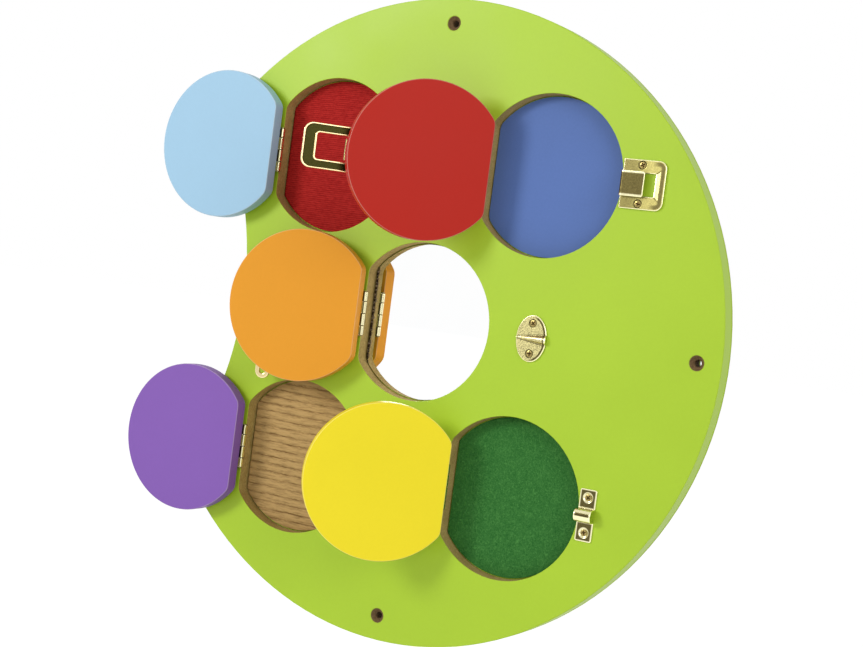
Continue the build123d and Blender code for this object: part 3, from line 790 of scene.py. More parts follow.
@dataclass
class Inlays:
    """The sheets that are felt or stroked."""

    openings: tuple[Opening, ...]
    rib_pitch: float = 1.9 * MM
    reed_pitch: float = 7.1 * MM
    lies: tuple[float, ...] = (0.3, 1.1, 1.9, 2.7)

    def ribs(self, x: Array, z: Array) -> Array:
        """Fine ribs: the root of the absolute sine of height over pitch, with a slow drift along each rib."""
        drift = 0.12 * Grit(3).at(x, z, 12 * MM) + 0.05 * Grit(4).at(x, z, 3 * MM)
        wave = np.abs(np.sin(pi * (z / self.rib_pitch + drift)))
        return np.sqrt(wave) * (0.86 + 0.14 * Grit(5).at(x, z, 1.6 * MM))

    def reeds(self, x: Array, z: Array) -> Array:
        """Rounded reeds: half ellipses side by side, their joints wandering, with fibres along each reed."""
        drift = 0.06 * Grit(7).at(x, z, 40 * MM) + 0.06 * Grit(8).at(x, z, 2 * MM)
        phase = (z / self.reed_pitch + drift) % 1.0
        arch = np.sqrt(np.maximum(1 - (2 * phase - 1) ** 2, 0.0))
        fibre = 0.05 * Grit(9).at(x * 0.12, z, 0.7 * MM) + 0.05 * Grit(10).at(x * 0.3, z, 1.5 * MM)
        return arch ** 0.6 * 0.95 + fibre

    def nap(self, x: Array, z: Array) -> Array:
        """Felt: two sizes of noise, and fibres where noise stretched along one of four directions peaks."""
        ground = 0.42 + 0.05 * Grit(11).at(x, z, 6 * MM) + 0.12 * Grit(12).at(x, z, 1.5 * MM)
        for seed, lie in enumerate(self.lies, 13):
            along, across = x * cos(lie) + z * sin(lie), z * cos(lie) - x * sin(lie)
            ground = ground + 0.35 * eased(Grit(seed).at(along * 0.2, across, 0.6 * MM), 0.5, 0.95)
        return ground

    def build(self) -> None:
        """Build every sheet where its opening is."""
        ribbed = CordedSheet("red ribbed sheet", Shade.RIBBED_RED, Shade.RIBBED_RED_SHADE, (0.3, 1.0, 1.0),
                             700.0, 0.35)
        straw = CordedSheet("straw reed sheet", Shade.STRAW, Shade.STRAW_SHADE, (0.12, 1.0, 1.0), 600.0, 0.42)
        felt = CordedSheet("green felt", Shade.FELT, Shade.FELT_SHADE, streak_scale=900.0, gloss=0.9)
        sheets = {
            "ribbed_inlay": (600, 60, self.ribs, 0.4 * MM, ribbed, "red_ribbed_sheet"),
            "corrugated_inlay": (420, 120, self.reeds, 0.9 * MM, straw, "brown_corrugated_sheet"),
            "felt_inlay": (300, 300, self.nap, 0.6 * MM, felt, "green_felt"),
        }
        place = {opening.inlay: opening for opening in self.openings}
        for inlay, (rows, columns, relief, depth, finish, slot) in sheets.items():
            sheet = InlaySheet(place[inlay], rows, columns, relief, depth).build()
            sheet.stand_in(inlay, "sheet", lambda places: places, "board", finish, slot)


def box_outline(low_x: float, high_x: float, half_y: float, left: float, right: float) -> Levels:
    """Return the depth inside a rectangle whose left and right corners have their own radii.

    The depth is the corner radius minus the length of the excess over the shrunken rectangle, plus
    what is left inside it.

    Args:
        low_x: Left side.
        high_x: Right side.
        half_y: Half the height.
        left: Radius of the left corners.
        right: Radius of the right corners.

    Returns:
        A function from x and y to the depth, positive inside.
    """
    middle, half_x = (low_x + high_x) / 2, (high_x - low_x) / 2

    def depth(x: Array, y: Array) -> Array:
        """Return the depth inside the rectangle."""
        corner = np.where(x > middle, right, left)
        over_x, over_y = np.abs(x - middle) - half_x + corner, np.abs(y) - half_y + corner
        outside = np.hypot(np.maximum(over_x, 0), np.maximum(over_y, 0))
        return corner - outside - np.minimum(np.maximum(over_x, over_y), 0)
    return depth


def oval_outline(half_x: float, half_y: float) -> Levels:
    """Return the depth inside an ellipse: the level's shortfall over the length of its slope."""
    least = 1e-9

    def depth(x: Array, y: Array) -> Array:
        """Return the depth inside the ellipse."""
        level = np.hypot(x / half_x, y / half_y) + least
        slope = np.hypot(x / half_x ** 2, y / half_y ** 2) / level + least
        return (1 - level) / slope
    return depth


def d_outline(radius: float, chord: float, corner: float) -> Levels:
    """Return the depth inside a circle cut off by an upright chord on its left, with two rounded corners.

    The depth is the lesser of the ways to the circle and to the chord. In the wedge between the two feet of
    a corner's own circle it is the way to that circle.

    Args:
        radius: Radius of the large circle about the origin.
        chord: How far left of the origin the chord lies.
        corner: Radius of both corners.

    Returns:
        A function from x and y to the depth, positive inside.
    """
    side = corner - chord
    rise = np.sqrt((radius - corner) ** 2 - side ** 2)

    def depth(x: Array, y: Array) -> Array:
        """Return the depth inside the outline."""
        across, up = x - side, np.abs(y) - rise
        wedge = (up > 0) & (side * up - rise * across > 0)
        open_depth = np.minimum(radius - np.hypot(x, y), x + chord)
        return np.where(wedge, corner - np.hypot(across, up), open_depth)
    return depth


def far_along(outline: Levels, centre: Spot, angles: Array, limit: float, inset: float = 0.0) -> Array:
    """Find how far each ray from a centre runs inside an outline, by halving the span.

    Args:
        outline: The outline's depth.
        centre: Where the rays start.
        angles: Their directions.
        limit: More than the longest ray.
        inset: Depth at which a ray ends.

    Returns:
        The length of each ray.
    """
    low, high = np.zeros_like(angles), np.full_like(angles, limit)
    for _ in range(36):
        middle = (low + high) / 2
        inside = outline(centre[0] + middle * np.cos(angles), centre[1] + middle * np.sin(angles)) > inset
        low, high = np.where(inside, middle, low), np.where(inside, high, middle)
    return low


@dataclass
class PressedPlate:
    """A pressed plate in polar rows around a centre, with rounded edges and an optional window."""

    outline: Levels
    centre: Spot
    thickness: float
    edge: float
    relief: Levels
    # tone paints shade through the hollow level, and the field after it paints highlights
    tone: Levels = plain
    polish: Levels = plain
    window: Levels | None = None
    limit: float = 60.0
    rows: int = 300
    columns: int = 70
    rim_width: float = 1.0
    pole: float = 0.01

    def add(self, skin: Skin) -> None:
        """Add the plate: rows are angles, columns run from the outer edge to the window or the centre.

        Height is the thickness less a quarter round of the edge radius at each edge, then the relief.

        Args:
            skin: The mesh that takes the plate.
        """
        angles = around(self.rows)
        far = far_along(self.outline, self.centre, angles, self.limit)[:, None]
        near = np.full_like(far, self.pole)
        if self.window is not None:
            near = far_along(self.window, self.centre, angles, self.limit)[:, None]
        run = far + (near - far) * (1 - np.cos(np.linspace(0, pi, self.columns)))[None, :] / 2
        x = self.centre[0] + run * np.cos(angles)[:, None]
        y = self.centre[1] + run * np.sin(angles)[:, None]
        from_rim = depth = np.maximum(self.outline(x, y), 0.0)
        if self.window is not None:
            depth = np.minimum(depth, np.maximum(-self.window(x, y), 0.0))
        height = self.relief(x, y, self.thickness + quarter_round(depth, self.edge))
        # painted highlight on the rounded edge, or a given painted highlight where that is higher
        rim = np.maximum(1 - eased(depth, 0.35 * self.rim_width, self.rim_width), self.polish(x, y))
        places = np.stack([x, y, height], axis=-1)
        columns = [0, *range(self.columns)] + ([] if self.window is None else [self.columns - 1])
        places, rim, hollow = places[:, columns], rim[:, columns], self.tone(x, y, from_rim)[:, columns]
        places[:, 0, 2] = 0.0
        if self.window is None:
            skin.lid(places, rim, hollow)
        else:
            places[:, -1, 2] = 0.0
            skin.grid(places, rim, True, True, hollow)


def wells(spots: list[Spot], radius: float, drop: float, floor_share: float = 0.66) -> Levels:
    """Return a relief that sinks a cone with a soft lip at each spot.

    Args:
        spots: Centres of the wells.
        radius: Radius at the lip.
        drop: Depth at the floor.
        floor_share: Share of the radius that is floor.

    Returns:
        The relief.
    """
    def sink(x: Array, y: Array, height: Array) -> Array:
        """Return the height less the depth of the wells."""
        for spot_x, spot_y in spots:
            far = np.hypot(x - spot_x, y - spot_y)
            height = height - drop * line(far, radius * floor_share, radius)
        return height
    return sink


def screw_ring_shade(spots: list[Spot], radius: float = 3.2) -> Levels:
    """Return a tone of painted shade in the gap between each screw's head and its well."""
    def ring(x: Array, y: Array) -> Array:
        """Return the level of the nearest ring."""
        far = np.min([np.hypot(x - spot_x, y - spot_y) for spot_x, spot_y in spots], axis=0)
        return line(far - radius, 0.35, 0.9)
    return ring


def bar_profile(thick: float, corner: float, across: int = 24) -> tuple[Array, Array, Array]:
    """Return a rounded bar's section: its half-width share, its offset by the corner, its height and rim.

    The section runs over the top from left to right, round the right side and back under.

    Args:
        thick: Thickness.
        corner: Radius of the four corners.
        across: Points over each flat.

    Returns:
        Pairs of width share and corner offset, heights, and rim levels.
    """
    flats = np.linspace(-1, 1, across)
    bend = np.linspace(0, pi / 2, 6)[1:-1]
    half, full = thick / 2 - corner, np.ones(len(bend))
    right_top = np.stack([full, corner * np.sin(bend), half + corner * np.cos(bend)], axis=-1)
    right_low = np.stack([full, corner * np.cos(bend), -half - corner * np.sin(bend)], axis=-1)
    top = np.stack([flats, 0 * flats, 0 * flats + thick / 2], axis=-1)
    mirror = np.array([-1.0, -1.0, 1.0])
    low = top[::-1] * np.array([1.0, 1.0, -1.0])
    left = [right_low[::-1] * mirror, right_top[::-1] * mirror]
    ring = np.concatenate([top, right_top, right_low, low, *left])
    # rim level of the painted highlight on the bar's rounded sides
    rim = eased(np.abs(flats), 0.84, 0.97)
    sides = np.ones(2 * len(bend))
    return ring[:, :2], ring[:, 2], np.concatenate([rim, sides, rim, sides])


def headings(path: Array) -> tuple[Array, Array]:
    """Return a path's unit normals to the left, and the length run at each of its points."""
    ahead = np.gradient(path, axis=0)
    ahead /= np.linalg.norm(ahead, axis=1)[:, None]
    run = np.concatenate([[0], np.cumsum(np.linalg.norm(np.diff(path, axis=0), axis=1))])
    return np.stack([-ahead[:, 1], ahead[:, 0]], axis=-1), run


@dataclass
class Strip:
    """A bar bent along a path in one plane, its width square to the plane."""

    path: Array
    widths: Array
    thick: float
    corner: float
    across: int = 24

    def add(self, skin: Skin, place: Levels, relief: Levels = flat, tone: Levels = plain,
            polish: Levels = plain) -> None:
        """Add the bar: rows follow the path, columns go round the section.

        A point is the path's point plus its side times the width share, plus the path's normal times the
        section's height.

        Args:
            skin: The mesh that takes the bar.
            place: Turns run, width and height on the path's plane into local places.
            relief: Changes the height of points on the upper face, by side and run.
            tone: Hollow level by side and run.
            polish: Rim level by side and run, where it is more than the section's own.
        """
        pairs, heights, rim = bar_profile(self.thick, self.corner, self.across)
        side = (self.widths[:, None] / 2 - self.corner) * pairs[None, :, 0] + pairs[None, :, 1]
        run = np.broadcast_to(self.path[:, :1], side.shape)
        rise = np.broadcast_to(heights[None, :], side.shape)
        rise = np.where(rise > self.thick * 0.49, relief(side, run, rise), rise)
        spots = self.path[:, None, :] + headings(self.path)[0][:, None, :] * rise[..., None]
        # painted highlight on the bar's rounded sides, raised where the given levels are higher
        shine = np.maximum(rim[None, :], polish(side, run))
        places = np.stack(place(spots[..., 0], side, spots[..., 1]), axis=-1)
        skin.tube(places[:, ::-1], shine[:, ::-1], tone(side, run)[:, ::-1])


@dataclass
class Channel:
    """A flat bar between an outer and an inner edge, hollowed along its underside."""

    outer: Array
    inner: Array
    thick: float
    corner: float
    trough: float
    across: int = 36

    def add(self, skin: Skin, height: float) -> None:
        """Add the bar: rows follow the two edges, columns go round the section.

        A point is the middle of the two edges plus the unit step between them times the section's side.

        Args:
            skin: The mesh that takes the bar.
            height: Height of its middle plane.
        """
        pairs, heights, rim = bar_profile(self.thick, self.corner, self.across)
        middle, step = (self.outer + self.inner) / 2, (self.outer - self.inner) / 2
        half = np.linalg.norm(step, axis=1)[:, None]
        side = (half - self.corner) * pairs[None, :, 0] + pairs[None, :, 1]
        under = heights < -self.thick * 0.49
        # painted shade in the trough under the bar, with painted highlights beside it
        hollow = np.where(under, line(pairs[:, 0], 0.74, 0.86), 0.0)
        spots = middle[:, None, :] + (step / half)[:, None, :] * side[..., None]
        rise = np.broadcast_to(height + heights + self.trough * hollow, side.shape)
        shine = np.where(under, 1 - eased(hollow, 0.0, 0.5), rim)[None, :]
        skin.tube(np.concatenate([spots, rise[..., None]], axis=-1), shine, hollow[None, :])


def edged(corners: list[Corner], per_side: int = 24, per_bend: int = 14) -> Array:
    """Return a polyline with rounded corners, with the same count of points on every side and bend.

    Each corner is replaced by the arc that touches both its sides, sampled in the corner's plane.

    Args:
        corners: Points with the radius at each.
        per_side: Points along each straight side.
        per_bend: Points along each arc.

    Returns:
        The points of the path.
    """
    spots = [np.array(corners[0][:2])[None, :]]
    for before, here, after in zip(corners, corners[1:], corners[2:]):
        spot, radius = np.array(here[:2]), here[2]
        back, on = np.array(before[:2]) - spot, np.array(after[:2]) - spot
        back, on = back / np.linalg.norm(back), on / np.linalg.norm(on)
        half = np.arccos(np.clip(back @ on, -1, 1)) / 2
        centre = spot + (back + on) / np.linalg.norm(back + on) * radius / np.sin(half)
        foot = radius / np.tan(half)
        first, last = spot + back * foot - centre, spot + on * foot - centre
        sweep, angle = np.linspace(0, 1, per_bend)[:, None], pi - 2 * half
        arc = (np.sin((1 - sweep) * angle) * first + np.sin(sweep * angle) * last) / np.sin(angle)
        spots += [np.linspace(spots[-1][-1], centre + arc[0], per_side)[1:-1], centre + arc]
    spots.append(np.linspace(spots[-1][-1], np.array(corners[-1][:2]), per_side)[1:])
    return np.concatenate(spots)


def bent(corners: list[Corner], step: float) -> Array:
    """Return a polyline with rounded corners, its points evenly spaced by about a step."""
    path = edged(corners)
    run = headings(path)[1]
    even = np.linspace(0, run[-1], max(int(run[-1] / step), 4))
    return np.stack([np.interp(even, run, path[:, 0]), np.interp(even, run, path[:, 1])], axis=-1)


@dataclass
class LatchKeeper:
    """The latch's plate with its window and ramp, and the tongue folded back over it."""

    length: float = 39.0
    half: float = 21.0
    centre: Spot = (20.0, 0.0)
    corners: Spot = (1.0, 7.0)
    thick: float = 2.2
    edge: float = 0.7
    window: Corner = (6.0, 30.0, 9.6)
    window_corner: float = 0.5
    flare: float = 0.7
    ramp_starts: float = 28.0
    ramp_span: Spot = (29.5, 4.6)
    ramp_heights: Spot = (1.3, 0.9)
    mitre_span: Spot = (29.0, 34.6)
    screws: Spot = (17.0, 16.3)
    well: Spot = (3.9, 0.95)
    rows: int = 360
    # the fields from here to mitre_soft place painted shade on the plate
    shade_band: Band = ((0.9, 1.7), (3.6, 5.6))
    shade_far: Spot = (25.0, 33.0)
    shade_near: Spot = (8.0, 27.0)
    shade_levels: Corner = (0.6, 0.8, 0.8)
    mitre_soft: Spot = (0.3, 0.8)
    ramp_margin: float = 0.4
    # painted highlight on the ramp
    ramp_highlight: float = 0.1
    tongue_start: float = 8.0
    tongue_reach: float = 22.0
    tongue_heights: Spot = (0.76, 6.24)
    tongue_bar: Spot = (1.5, 0.5)
    tongue_width: float = 21.6
    tongue_nose: Spot = (1.6, 2.6)
    # painted shade over the whole tongue
    tongue_shade: float = 0.92
    # painted highlights on the tongue's tip and fold
    tip_highlight: Spot = (21.2, 21.6)
    fold_highlight: Spot = (0.5, 1.3)

    def spots(self) -> list[Spot]:
        """Return the places of the two screws."""
        return [(self.screws[0], self.screws[1]), (self.screws[0], -self.screws[1])]

    def build(self) -> Skin:
        """Build the plate and the tongue.

        The plate is lowered to a slope beside the window, between two mitres that spread by the flare.

        Returns:
            The mesh.
        """
        left, right, half_window = self.window
        sink, rings = wells(self.spots(), *self.well), screw_ring_shade(self.spots())

        def ramp(x: Array, y: Array, height: Array) -> Array:
            """Lower the plate towards the window's right side and sink the screw wells."""
            slope = np.clip((x - self.ramp_span[0]) / self.ramp_span[1], 0.0, 1.0)
            beside = np.abs(y) < half_window + self.flare * np.maximum(x - right, 0.0)
            low, rise = self.ramp_heights
            sloped = np.minimum(height, low + rise * slope)
            return np.where(beside & (x > self.ramp_starts), sloped, sink(x, y, height))

        def tone(x: Array, y: Array, from_rim: Array) -> Array:
            """Paint shade round the tongue, in a band inside the far rim, on the mitres and in the rings."""
            inner = band(from_rim, *self.shade_band) * eased(x, *self.shade_far)
            mitre = line(np.abs(y) - half_window - self.flare * (x - right), *self.mitre_soft)
            mitre = mitre * (x > self.mitre_span[0]) * (x < self.mitre_span[1])
            near, far, fold = self.shade_levels
            return most(near * (1 - eased(x, *self.shade_near)) + far * inner, fold * mitre, rings(x, y))

        def polish(x: Array, y: Array) -> Array:
            """Paint a highlight on the ramp at the window."""
            inside = np.abs(y) < half_window - self.ramp_margin + self.flare * np.maximum(x - right, 0.0)
            start, end = self.mitre_span
            return np.where(inside & (x > start) & (x < end), self.ramp_highlight, 0.0)
        skin = Skin()
        cut = box_outline(left, right, half_window, self.window_corner, self.window_corner)
        outline = box_outline(0.0, self.length, self.half, *self.corners)
        PressedPlate(outline, self.centre, self.thick, self.edge, ramp, tone, polish, cut,
                     rows=self.rows).add(skin)
        self.tongue(skin)
        return skin

    def tongue(self, skin: Skin) -> None:
        """Add the tongue, which comes off the plate, turns up and reaches back to a rounded nose."""
        low, high = self.tongue_heights
        reach, bend = self.tongue_reach, self.tongue_bar[0]
        path = bent([(self.tongue_start, low, 0.0), (low, low, bend), (low, high, bend), (reach, high, 0.0)],
                    PATH_STEP)
        nose, narrow = self.tongue_nose
        foot = path[:, 1] < (low + high) / 2
        end = np.minimum(np.clip((reach - path[:, 0]) / nose, 0.0, 1.0) + foot, 1)
        widths = self.tongue_width - narrow * (1 - np.sqrt(np.maximum(1 - (1 - end) ** 2, 0)))
        # painted shade over the whole tongue, with painted highlights on its tip and its fold
        Strip(path, widths, *self.tongue_bar).add(
            skin, lambda run, side, rise: (run, -side, rise),
            tone=lambda side, run: np.full_like(side, self.tongue_shade),
            polish=lambda side, run: most(eased(run, *self.tip_highlight), 1 - eased(run, *self.fold_highlight)))


@dataclass
class OvalKeeper:
    """The oval plate with a ridge pressed across it that widens to a mouth on the right."""

    half_x: float = 14.5
    half_y: float = 20.5
    thick: float = 1.7
    edge: float = 0.8
    ridge_radii: Spot = (0.9, 3.5)
    ridge_lift: float = 0.6
    screw: float = 13.2
    well: Spot = (3.9, 0.85)
    rows: int = 480
    columns: int = 110
    # the fields from here to foot_soft place painted shade on the plate
    shade_band: Band = ((0.9, 1.3), (1.9, 3.2))
    shade_side: Spot = (-1.0, 6.0)
    shade_levels: Spot = (1.2, 0.85)
    foot_share: float = 1.15
    foot_soft: Spot = (0.25, 0.6)
    # painted highlight along the ridge
    ridge_highlight: float = 0.1
    ridge_top: Spot = (0.7, 0.95)

    def spots(self) -> list[Spot]:
        """Return the places of the two screws."""
        return [(0.0, self.screw), (0.0, -self.screw)]

    def radius(self, x: Array) -> Array:
        """Return the radius of the ridge, which grows evenly from left to right."""
        start, growth = self.ridge_radii
        return start + growth * np.clip((x + self.half_x) / (2 * self.half_x), 0.0, 1.0)

    def build(self) -> Skin:
        """Build the plate.

        Along the middle it is raised to a half cone, where that is higher than the plate.

        Returns:
            The mesh.
        """
        sink, rings = wells(self.spots(), *self.well), screw_ring_shade(self.spots())

        def ridge(x: Array, y: Array, height: Array) -> Array:
            """Raise the half cone and sink the screw wells."""
            radius = self.radius(x)
            arch = np.sqrt(np.maximum(radius ** 2 - y ** 2, 0.0)) + self.ridge_lift
            height = sink(x, y, height)
            return np.where(np.abs(y) < radius, np.maximum(height, arch), height)

        def tone(x: Array, y: Array, from_rim: Array) -> Array:
            """Paint shade in a crescent inside the right rim, at the foot of the ridge and in the screws'
            rings.
            """
            crescent = band(from_rim, *self.shade_band) * eased(x, *self.shade_side)
            foot = line(np.abs(y) - self.foot_share * self.radius(x), *self.foot_soft)
            return most(self.shade_levels[0] * crescent, self.shade_levels[1] * foot, rings(x, y))

        def polish(x: Array, y: Array) -> Array:
            """Paint a highlight along the ridge."""
            full, none = self.ridge_top
            return self.ridge_highlight * line(y, full * self.radius(x), none * self.radius(x))
        skin = Skin()
        outline = oval_outline(self.half_x, self.half_y)
        PressedPlate(outline, (0.0, 0.0), self.thick, self.edge, ridge, tone, polish,
                     rows=self.rows, columns=self.columns).add(skin)
        return skin


@dataclass
class BoltStrap:
    """The bolt's strap: an ear, an arch and an ear along one path, each ear dished round its screw."""

    reach: float = 22.25
    level: float = 0.7
    crown: float = 9.9
    arch_half: float = 5.3
    bends: Spot = (1.1, 5.2)
    bar: Spot = (1.4, 0.5)
    width: float = 15.5
    ear_end: Spot = (1.5, 2.4)
    screw: Spot = (7.75, 15.0)
    well: Spot = (4.6, 0.85)
    across: int = 60
    ear_span: Spot = (6.2, 7.2)
    # place of the painted dark reflection over the arch
    reflection_line: float = 0.9
    line_soft: Spot = (0.9, 1.7)
    line_side: Spot = (6.2, 6.8)
    # painted shade over the ears
    ear_shade: float = 0.9
    ring_band: Band = ((2.7, 3.2), (4.4, 5.0))
    end_span: Spot = (21.0, 21.7)
    # levels of the painted highlights
    highlight_levels: Spot = (0.75, 0.8)

    def spots(self) -> list[Spot]:
        """Return the places of the two screws."""
        return [self.screw, (self.screw[0], -self.screw[1])]

    def build(self) -> Skin:
        """Build the strap.

        Returns:
            The mesh.
        """
        reach, level, crown, half = self.reach, self.level, self.crown, self.arch_half
        foot, top = self.bends
        path = bent([(-reach, level, 0.0), (-half, level, foot), (-half, crown, top), (half, crown, top),
                     (half, level, foot), (reach, level, 0.0)], PATH_STEP)
        run_in, narrow = self.ear_end
        ends_in = np.sqrt(np.clip((reach - np.abs(path[:, 0])) / run_in, 0.0, 1.0))
        across, up = self.screw

        def ear(run: Array) -> Array:
            """Return a level that is 1 on the ears."""
            return eased(np.abs(run), *self.ear_span)

        def over(run: Array) -> Array:
            """Return a level that is 1 on the painted dark reflection over the arch."""
            return line(run - self.reflection_line, *self.line_soft)

        def tone(side: Array, run: Array) -> Array:
            """Paint shade on the ears round their screws and a dark reflection line over the arch."""
            return most(self.ear_shade * ear(run) + over(run) * (1 - ear(run)))

        def polish(side: Array, run: Array) -> Array:
            """Paint highlights on a ring round each screw, the ears' ends and the arch beside its dark
            reflection.
            """
            ring = band(np.hypot(side, np.abs(run) - up), *self.ring_band)
            arch = (1 - ear(run)) * (1 - over(run) * line(side, *self.line_side))
            ring_level, arch_level = self.highlight_levels
            return most(ring_level * ring, eased(np.abs(run), *self.end_span), arch_level * arch)
        skin = Skin()
        Strip(path, self.width - narrow * (1 - ends_in), *self.bar, self.across).add(
            skin, lambda run, side, rise: (across + side, run, rise),
            wells([(0.0, up), (0.0, -up)], *self.well), tone, polish)
        return skin


@dataclass
class ScrewHead:
    """A countersunk head: a shallow dome in polar rows with a cross pressed into it."""

    radius: float = 2.9
    fall: float = 0.35
    cross_depth: float = 0.35
    cross_sides: Spot = (0.38, 0.62)
    cross_ends: Spot = (0.62, 0.8)
    depth: float = 1.6
    rows: int = 72
    columns: int = 34
    pole: float = 0.02
    rim_level: float = 0.7
    rim_span: Spot = (0.86, 0.98)

    def add(self, skin: Skin, x: float, y: float, top: float, turn: float) -> None:
        """Add one head.

        Height is the top less a dome's fall by the square of the radius, less the cross, which is deep where
        the smaller of two turned coordinates is under its half-width and the larger within its reach.

        Args:
            skin: The mesh that takes the head.
            x: Centre to the right.
            y: Centre upward.
            top: Height of the crown.
            turn: Turn of the cross.
        """
        angles, radius = around(self.rows)[:, None], self.radius
        run = np.concatenate([[radius, radius], np.linspace(radius, self.pole, self.columns)])[None, :]
        turned = np.abs(np.stack([run * np.cos(angles - turn), run * np.sin(angles - turn)]))
        start, end = self.cross_ends
        cross = line(turned.min(axis=0), *self.cross_sides)
        cross = cross * line(turned.max(axis=0), start * radius, end * radius)
        height = top - self.fall * (run / radius) ** 2 - self.cross_depth * cross
        height[:, 0] = top - self.depth
        places = np.stack([x + run * np.cos(angles), y + run * np.sin(angles), height], axis=-1)
        # painted highlight round the edge of the head and painted shade in the cross
        skin.lid(places, self.rim_level * eased(run / radius, *self.rim_span) * (1 - cross), cross)


@dataclass
class LatchLoop:
    """The latch's loop: a channel bent to a U that narrows to its arms, with an eye on each arm."""

    start: float = 113.65
    inner: float = 151.49
    tip: float = 163.49
    height: float = 6.288
    half: float = 19.5
    arm: float = 8.0
    inner_bend: float = 2.5
    bar: Corner = (2.0, 0.6, 1.2)
    eye_half: float = 3.9
    eye_radii: Spot = (2.2, 1.26)
    eye_rows: int = 40
    eye_rim: float = 0.6

    def u_path(self, tip: float, half: float, bend: float) -> Array:
        """Return a U from one arm's end round the tip to the other's."""
        start = self.start
        return edged([(start, half, 0.0), (tip, half, bend), (tip, -half, bend), (start, -half, 0.0)])

    def build(self) -> Skin:
        """Build the loop.

        Each eye is a short tube: a closed section turned about the loop's pin.

        Returns:
            The mesh.
        """
        skin = Skin()
        outer = self.u_path(self.tip, self.half, self.arm)
        inner = self.u_path(self.inner, self.half - self.arm, self.inner_bend)
        Channel(outer, inner, *self.bar).add(skin, self.height)
        angles = around(self.eye_rows)[:, None]
        big, small = self.eye_radii
        radii = np.array([[big, big, small, small]])
        along = np.broadcast_to(self.eye_half * np.array([[-1.0, 1.0, 1.0, -1.0]]), (self.eye_rows, 4))
        for end in (1, -1):
            places = np.stack([self.start + radii * np.cos(angles), end * (self.half - self.arm / 2) - along,
                               self.height + radii * np.sin(angles)], axis=-1)
            skin.grid(places, self.eye_rim, True, True)
        return skin


@dataclass
class Hook:
    """The hook: a flat bar down to a curl, with an eye that turns on its stud."""

    reach: float = 96.99
    rise: float = 24.2
    height: float = 4.55
    step: float = 0.6
    across: int = 10
    eye_below: float = -4.0
    curl: Corner = (-10.0, -94.75, 4.95)
    nose: float = -86.2
    width: float = 4.5
    bar: Spot = (3.0, 0.9)
    nose_length: float = 2.2
    nose_share: float = 0.42
    bar_rim: float = 0.75
    eye_bore: float = 2.26
    eye_radius: float = 5.6
    eye_bevel: float = 0.7
    eye_rows: int = 56
    eye_rim: float = 0.5

    def build(self) -> Skin:
        """Build the hook.

        The bar's section runs along the curl's path, narrowed at the nose by a quarter ellipse. The eye is a
        bevelled section turned about the stud.

        Returns:
            The mesh.
        """
        skin = Skin()
        side, low, bend = self.curl
        thick, corner = self.bar
        path = bent([(0.0, self.eye_below, 0.0), (0.0, low, bend), (side, low, bend),
                     (side, self.nose, 0.0)], self.step)
        pairs, heights, rim = bar_profile(thick, corner, self.across)
        normals, run = headings(path)
        nose = np.clip((run[-1] - run) / self.nose_length, 0.0, 1.0)
        widths = self.width * np.maximum(np.sqrt(1 - (1 - nose) ** 2), self.nose_share)
        across = (widths[:, None] / 2 - corner) * pairs[None, :, 0] + pairs[None, :, 1]
        spots = path[:, None, :] + normals[:, None, :] * across[..., None]
        level = np.broadcast_to(self.height + heights, across.shape)[..., None]
        places = np.concatenate([spots, level], axis=-1) + np.array([self.reach, self.rise, 0.0])
        skin.tube(places, np.maximum(rim, self.bar_rim)[None, :])
        full, half = self.eye_radius - self.eye_bevel, thick / 2
        flank = half - self.eye_bevel
        radii = np.array([[self.eye_bore, full, self.eye_radius, self.eye_radius, full, self.eye_bore]])
        levels = self.height + np.array([[-half, -half, -flank, flank, half, half]])
        angles = around(self.eye_rows)[:, None]
        eye = np.stack([self.reach + radii * np.cos(angles), self.rise + radii * np.sin(angles),
                        np.broadcast_to(levels, (self.eye_rows, levels.size))], axis=-1)
        skin.grid(eye, self.eye_rim, True, True)
        return skin


@dataclass
class Catches:
    """The catches' pieces that the doors shut against, and the loop and the hook that reach for them."""

    red: HingeLine
    orange: HingeLine
    keeper_top: float = 1.9
    oval_top: float = 1.4
    strap_top: float = 1.15
    first_turn: float = 0.5
    turn_step: float = 0.9

    def build(self) -> None:
        """Build and dress every piece."""
        keeper, oval, strap = LatchKeeper(), OvalKeeper(), BoltStrap()
        low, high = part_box("hook_keeper")
        places = {
            "latch_keeper": (keeper, FaceSpot(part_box("latch_keeper")[0][0], ROW), self.keeper_top),
            "hook_keeper": (oval, FaceSpot((low[0] + high[0]) / 2, 0.0), self.oval_top),
            "bolt_strap": (strap, FaceSpot(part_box("bolt_strap")[0][0], -ROW), self.strap_top),
        }
        finishes = {
            "latch_keeper": RimmedBrass("pressed brass"),
            "hook_keeper": RimmedBrass("tumbled oval", face=Shade.BRASS_SOFT, grain=0.6),
            "bolt_strap": RimmedBrass("pressed strap", gloss=0.22),
        }
        heads, turn = Skin(), self.first_turn
        for node, (piece, spot, top) in places.items():
            piece.build().stand_in(node, "pressing", spot.carry, "board", finishes[node])
            for x, y in piece.spots():
                ScrewHead().add(heads, spot.x / MM + x, spot.z / MM + y, top, turn)
                turn += self.turn_step
        # the screws' rims take a painted highlight and their crosses painted shade
        bronzed = RimmedBrass("bronzed screw heads", Shade.BRASS, Shade.BRONZE, Shade.BRONZE_SHADE)
        heads.stand_in("keeper_screws", "pressing", FaceSpot(0.0, 0.0).carry, "board", bronzed)
        # cream painted highlights on the loop's edges and painted shade in its trough
        hollow = RimmedBrass("hollow loop", Shade.BRASS_CREAM, deep=Shade.LOOP_SHADE, grain=0.15)
        LatchLoop().build().stand_in("latch_loop", "pressing", self.red.carry, "latch_loop", hollow)
        drawn = RimmedBrass("drawn hook", Shade.BRASS_CREAM, gloss=0.18, grain=0.1)
        Hook().build().stand_in("hook", "pressing", self.orange.carry, "hook", drawn)


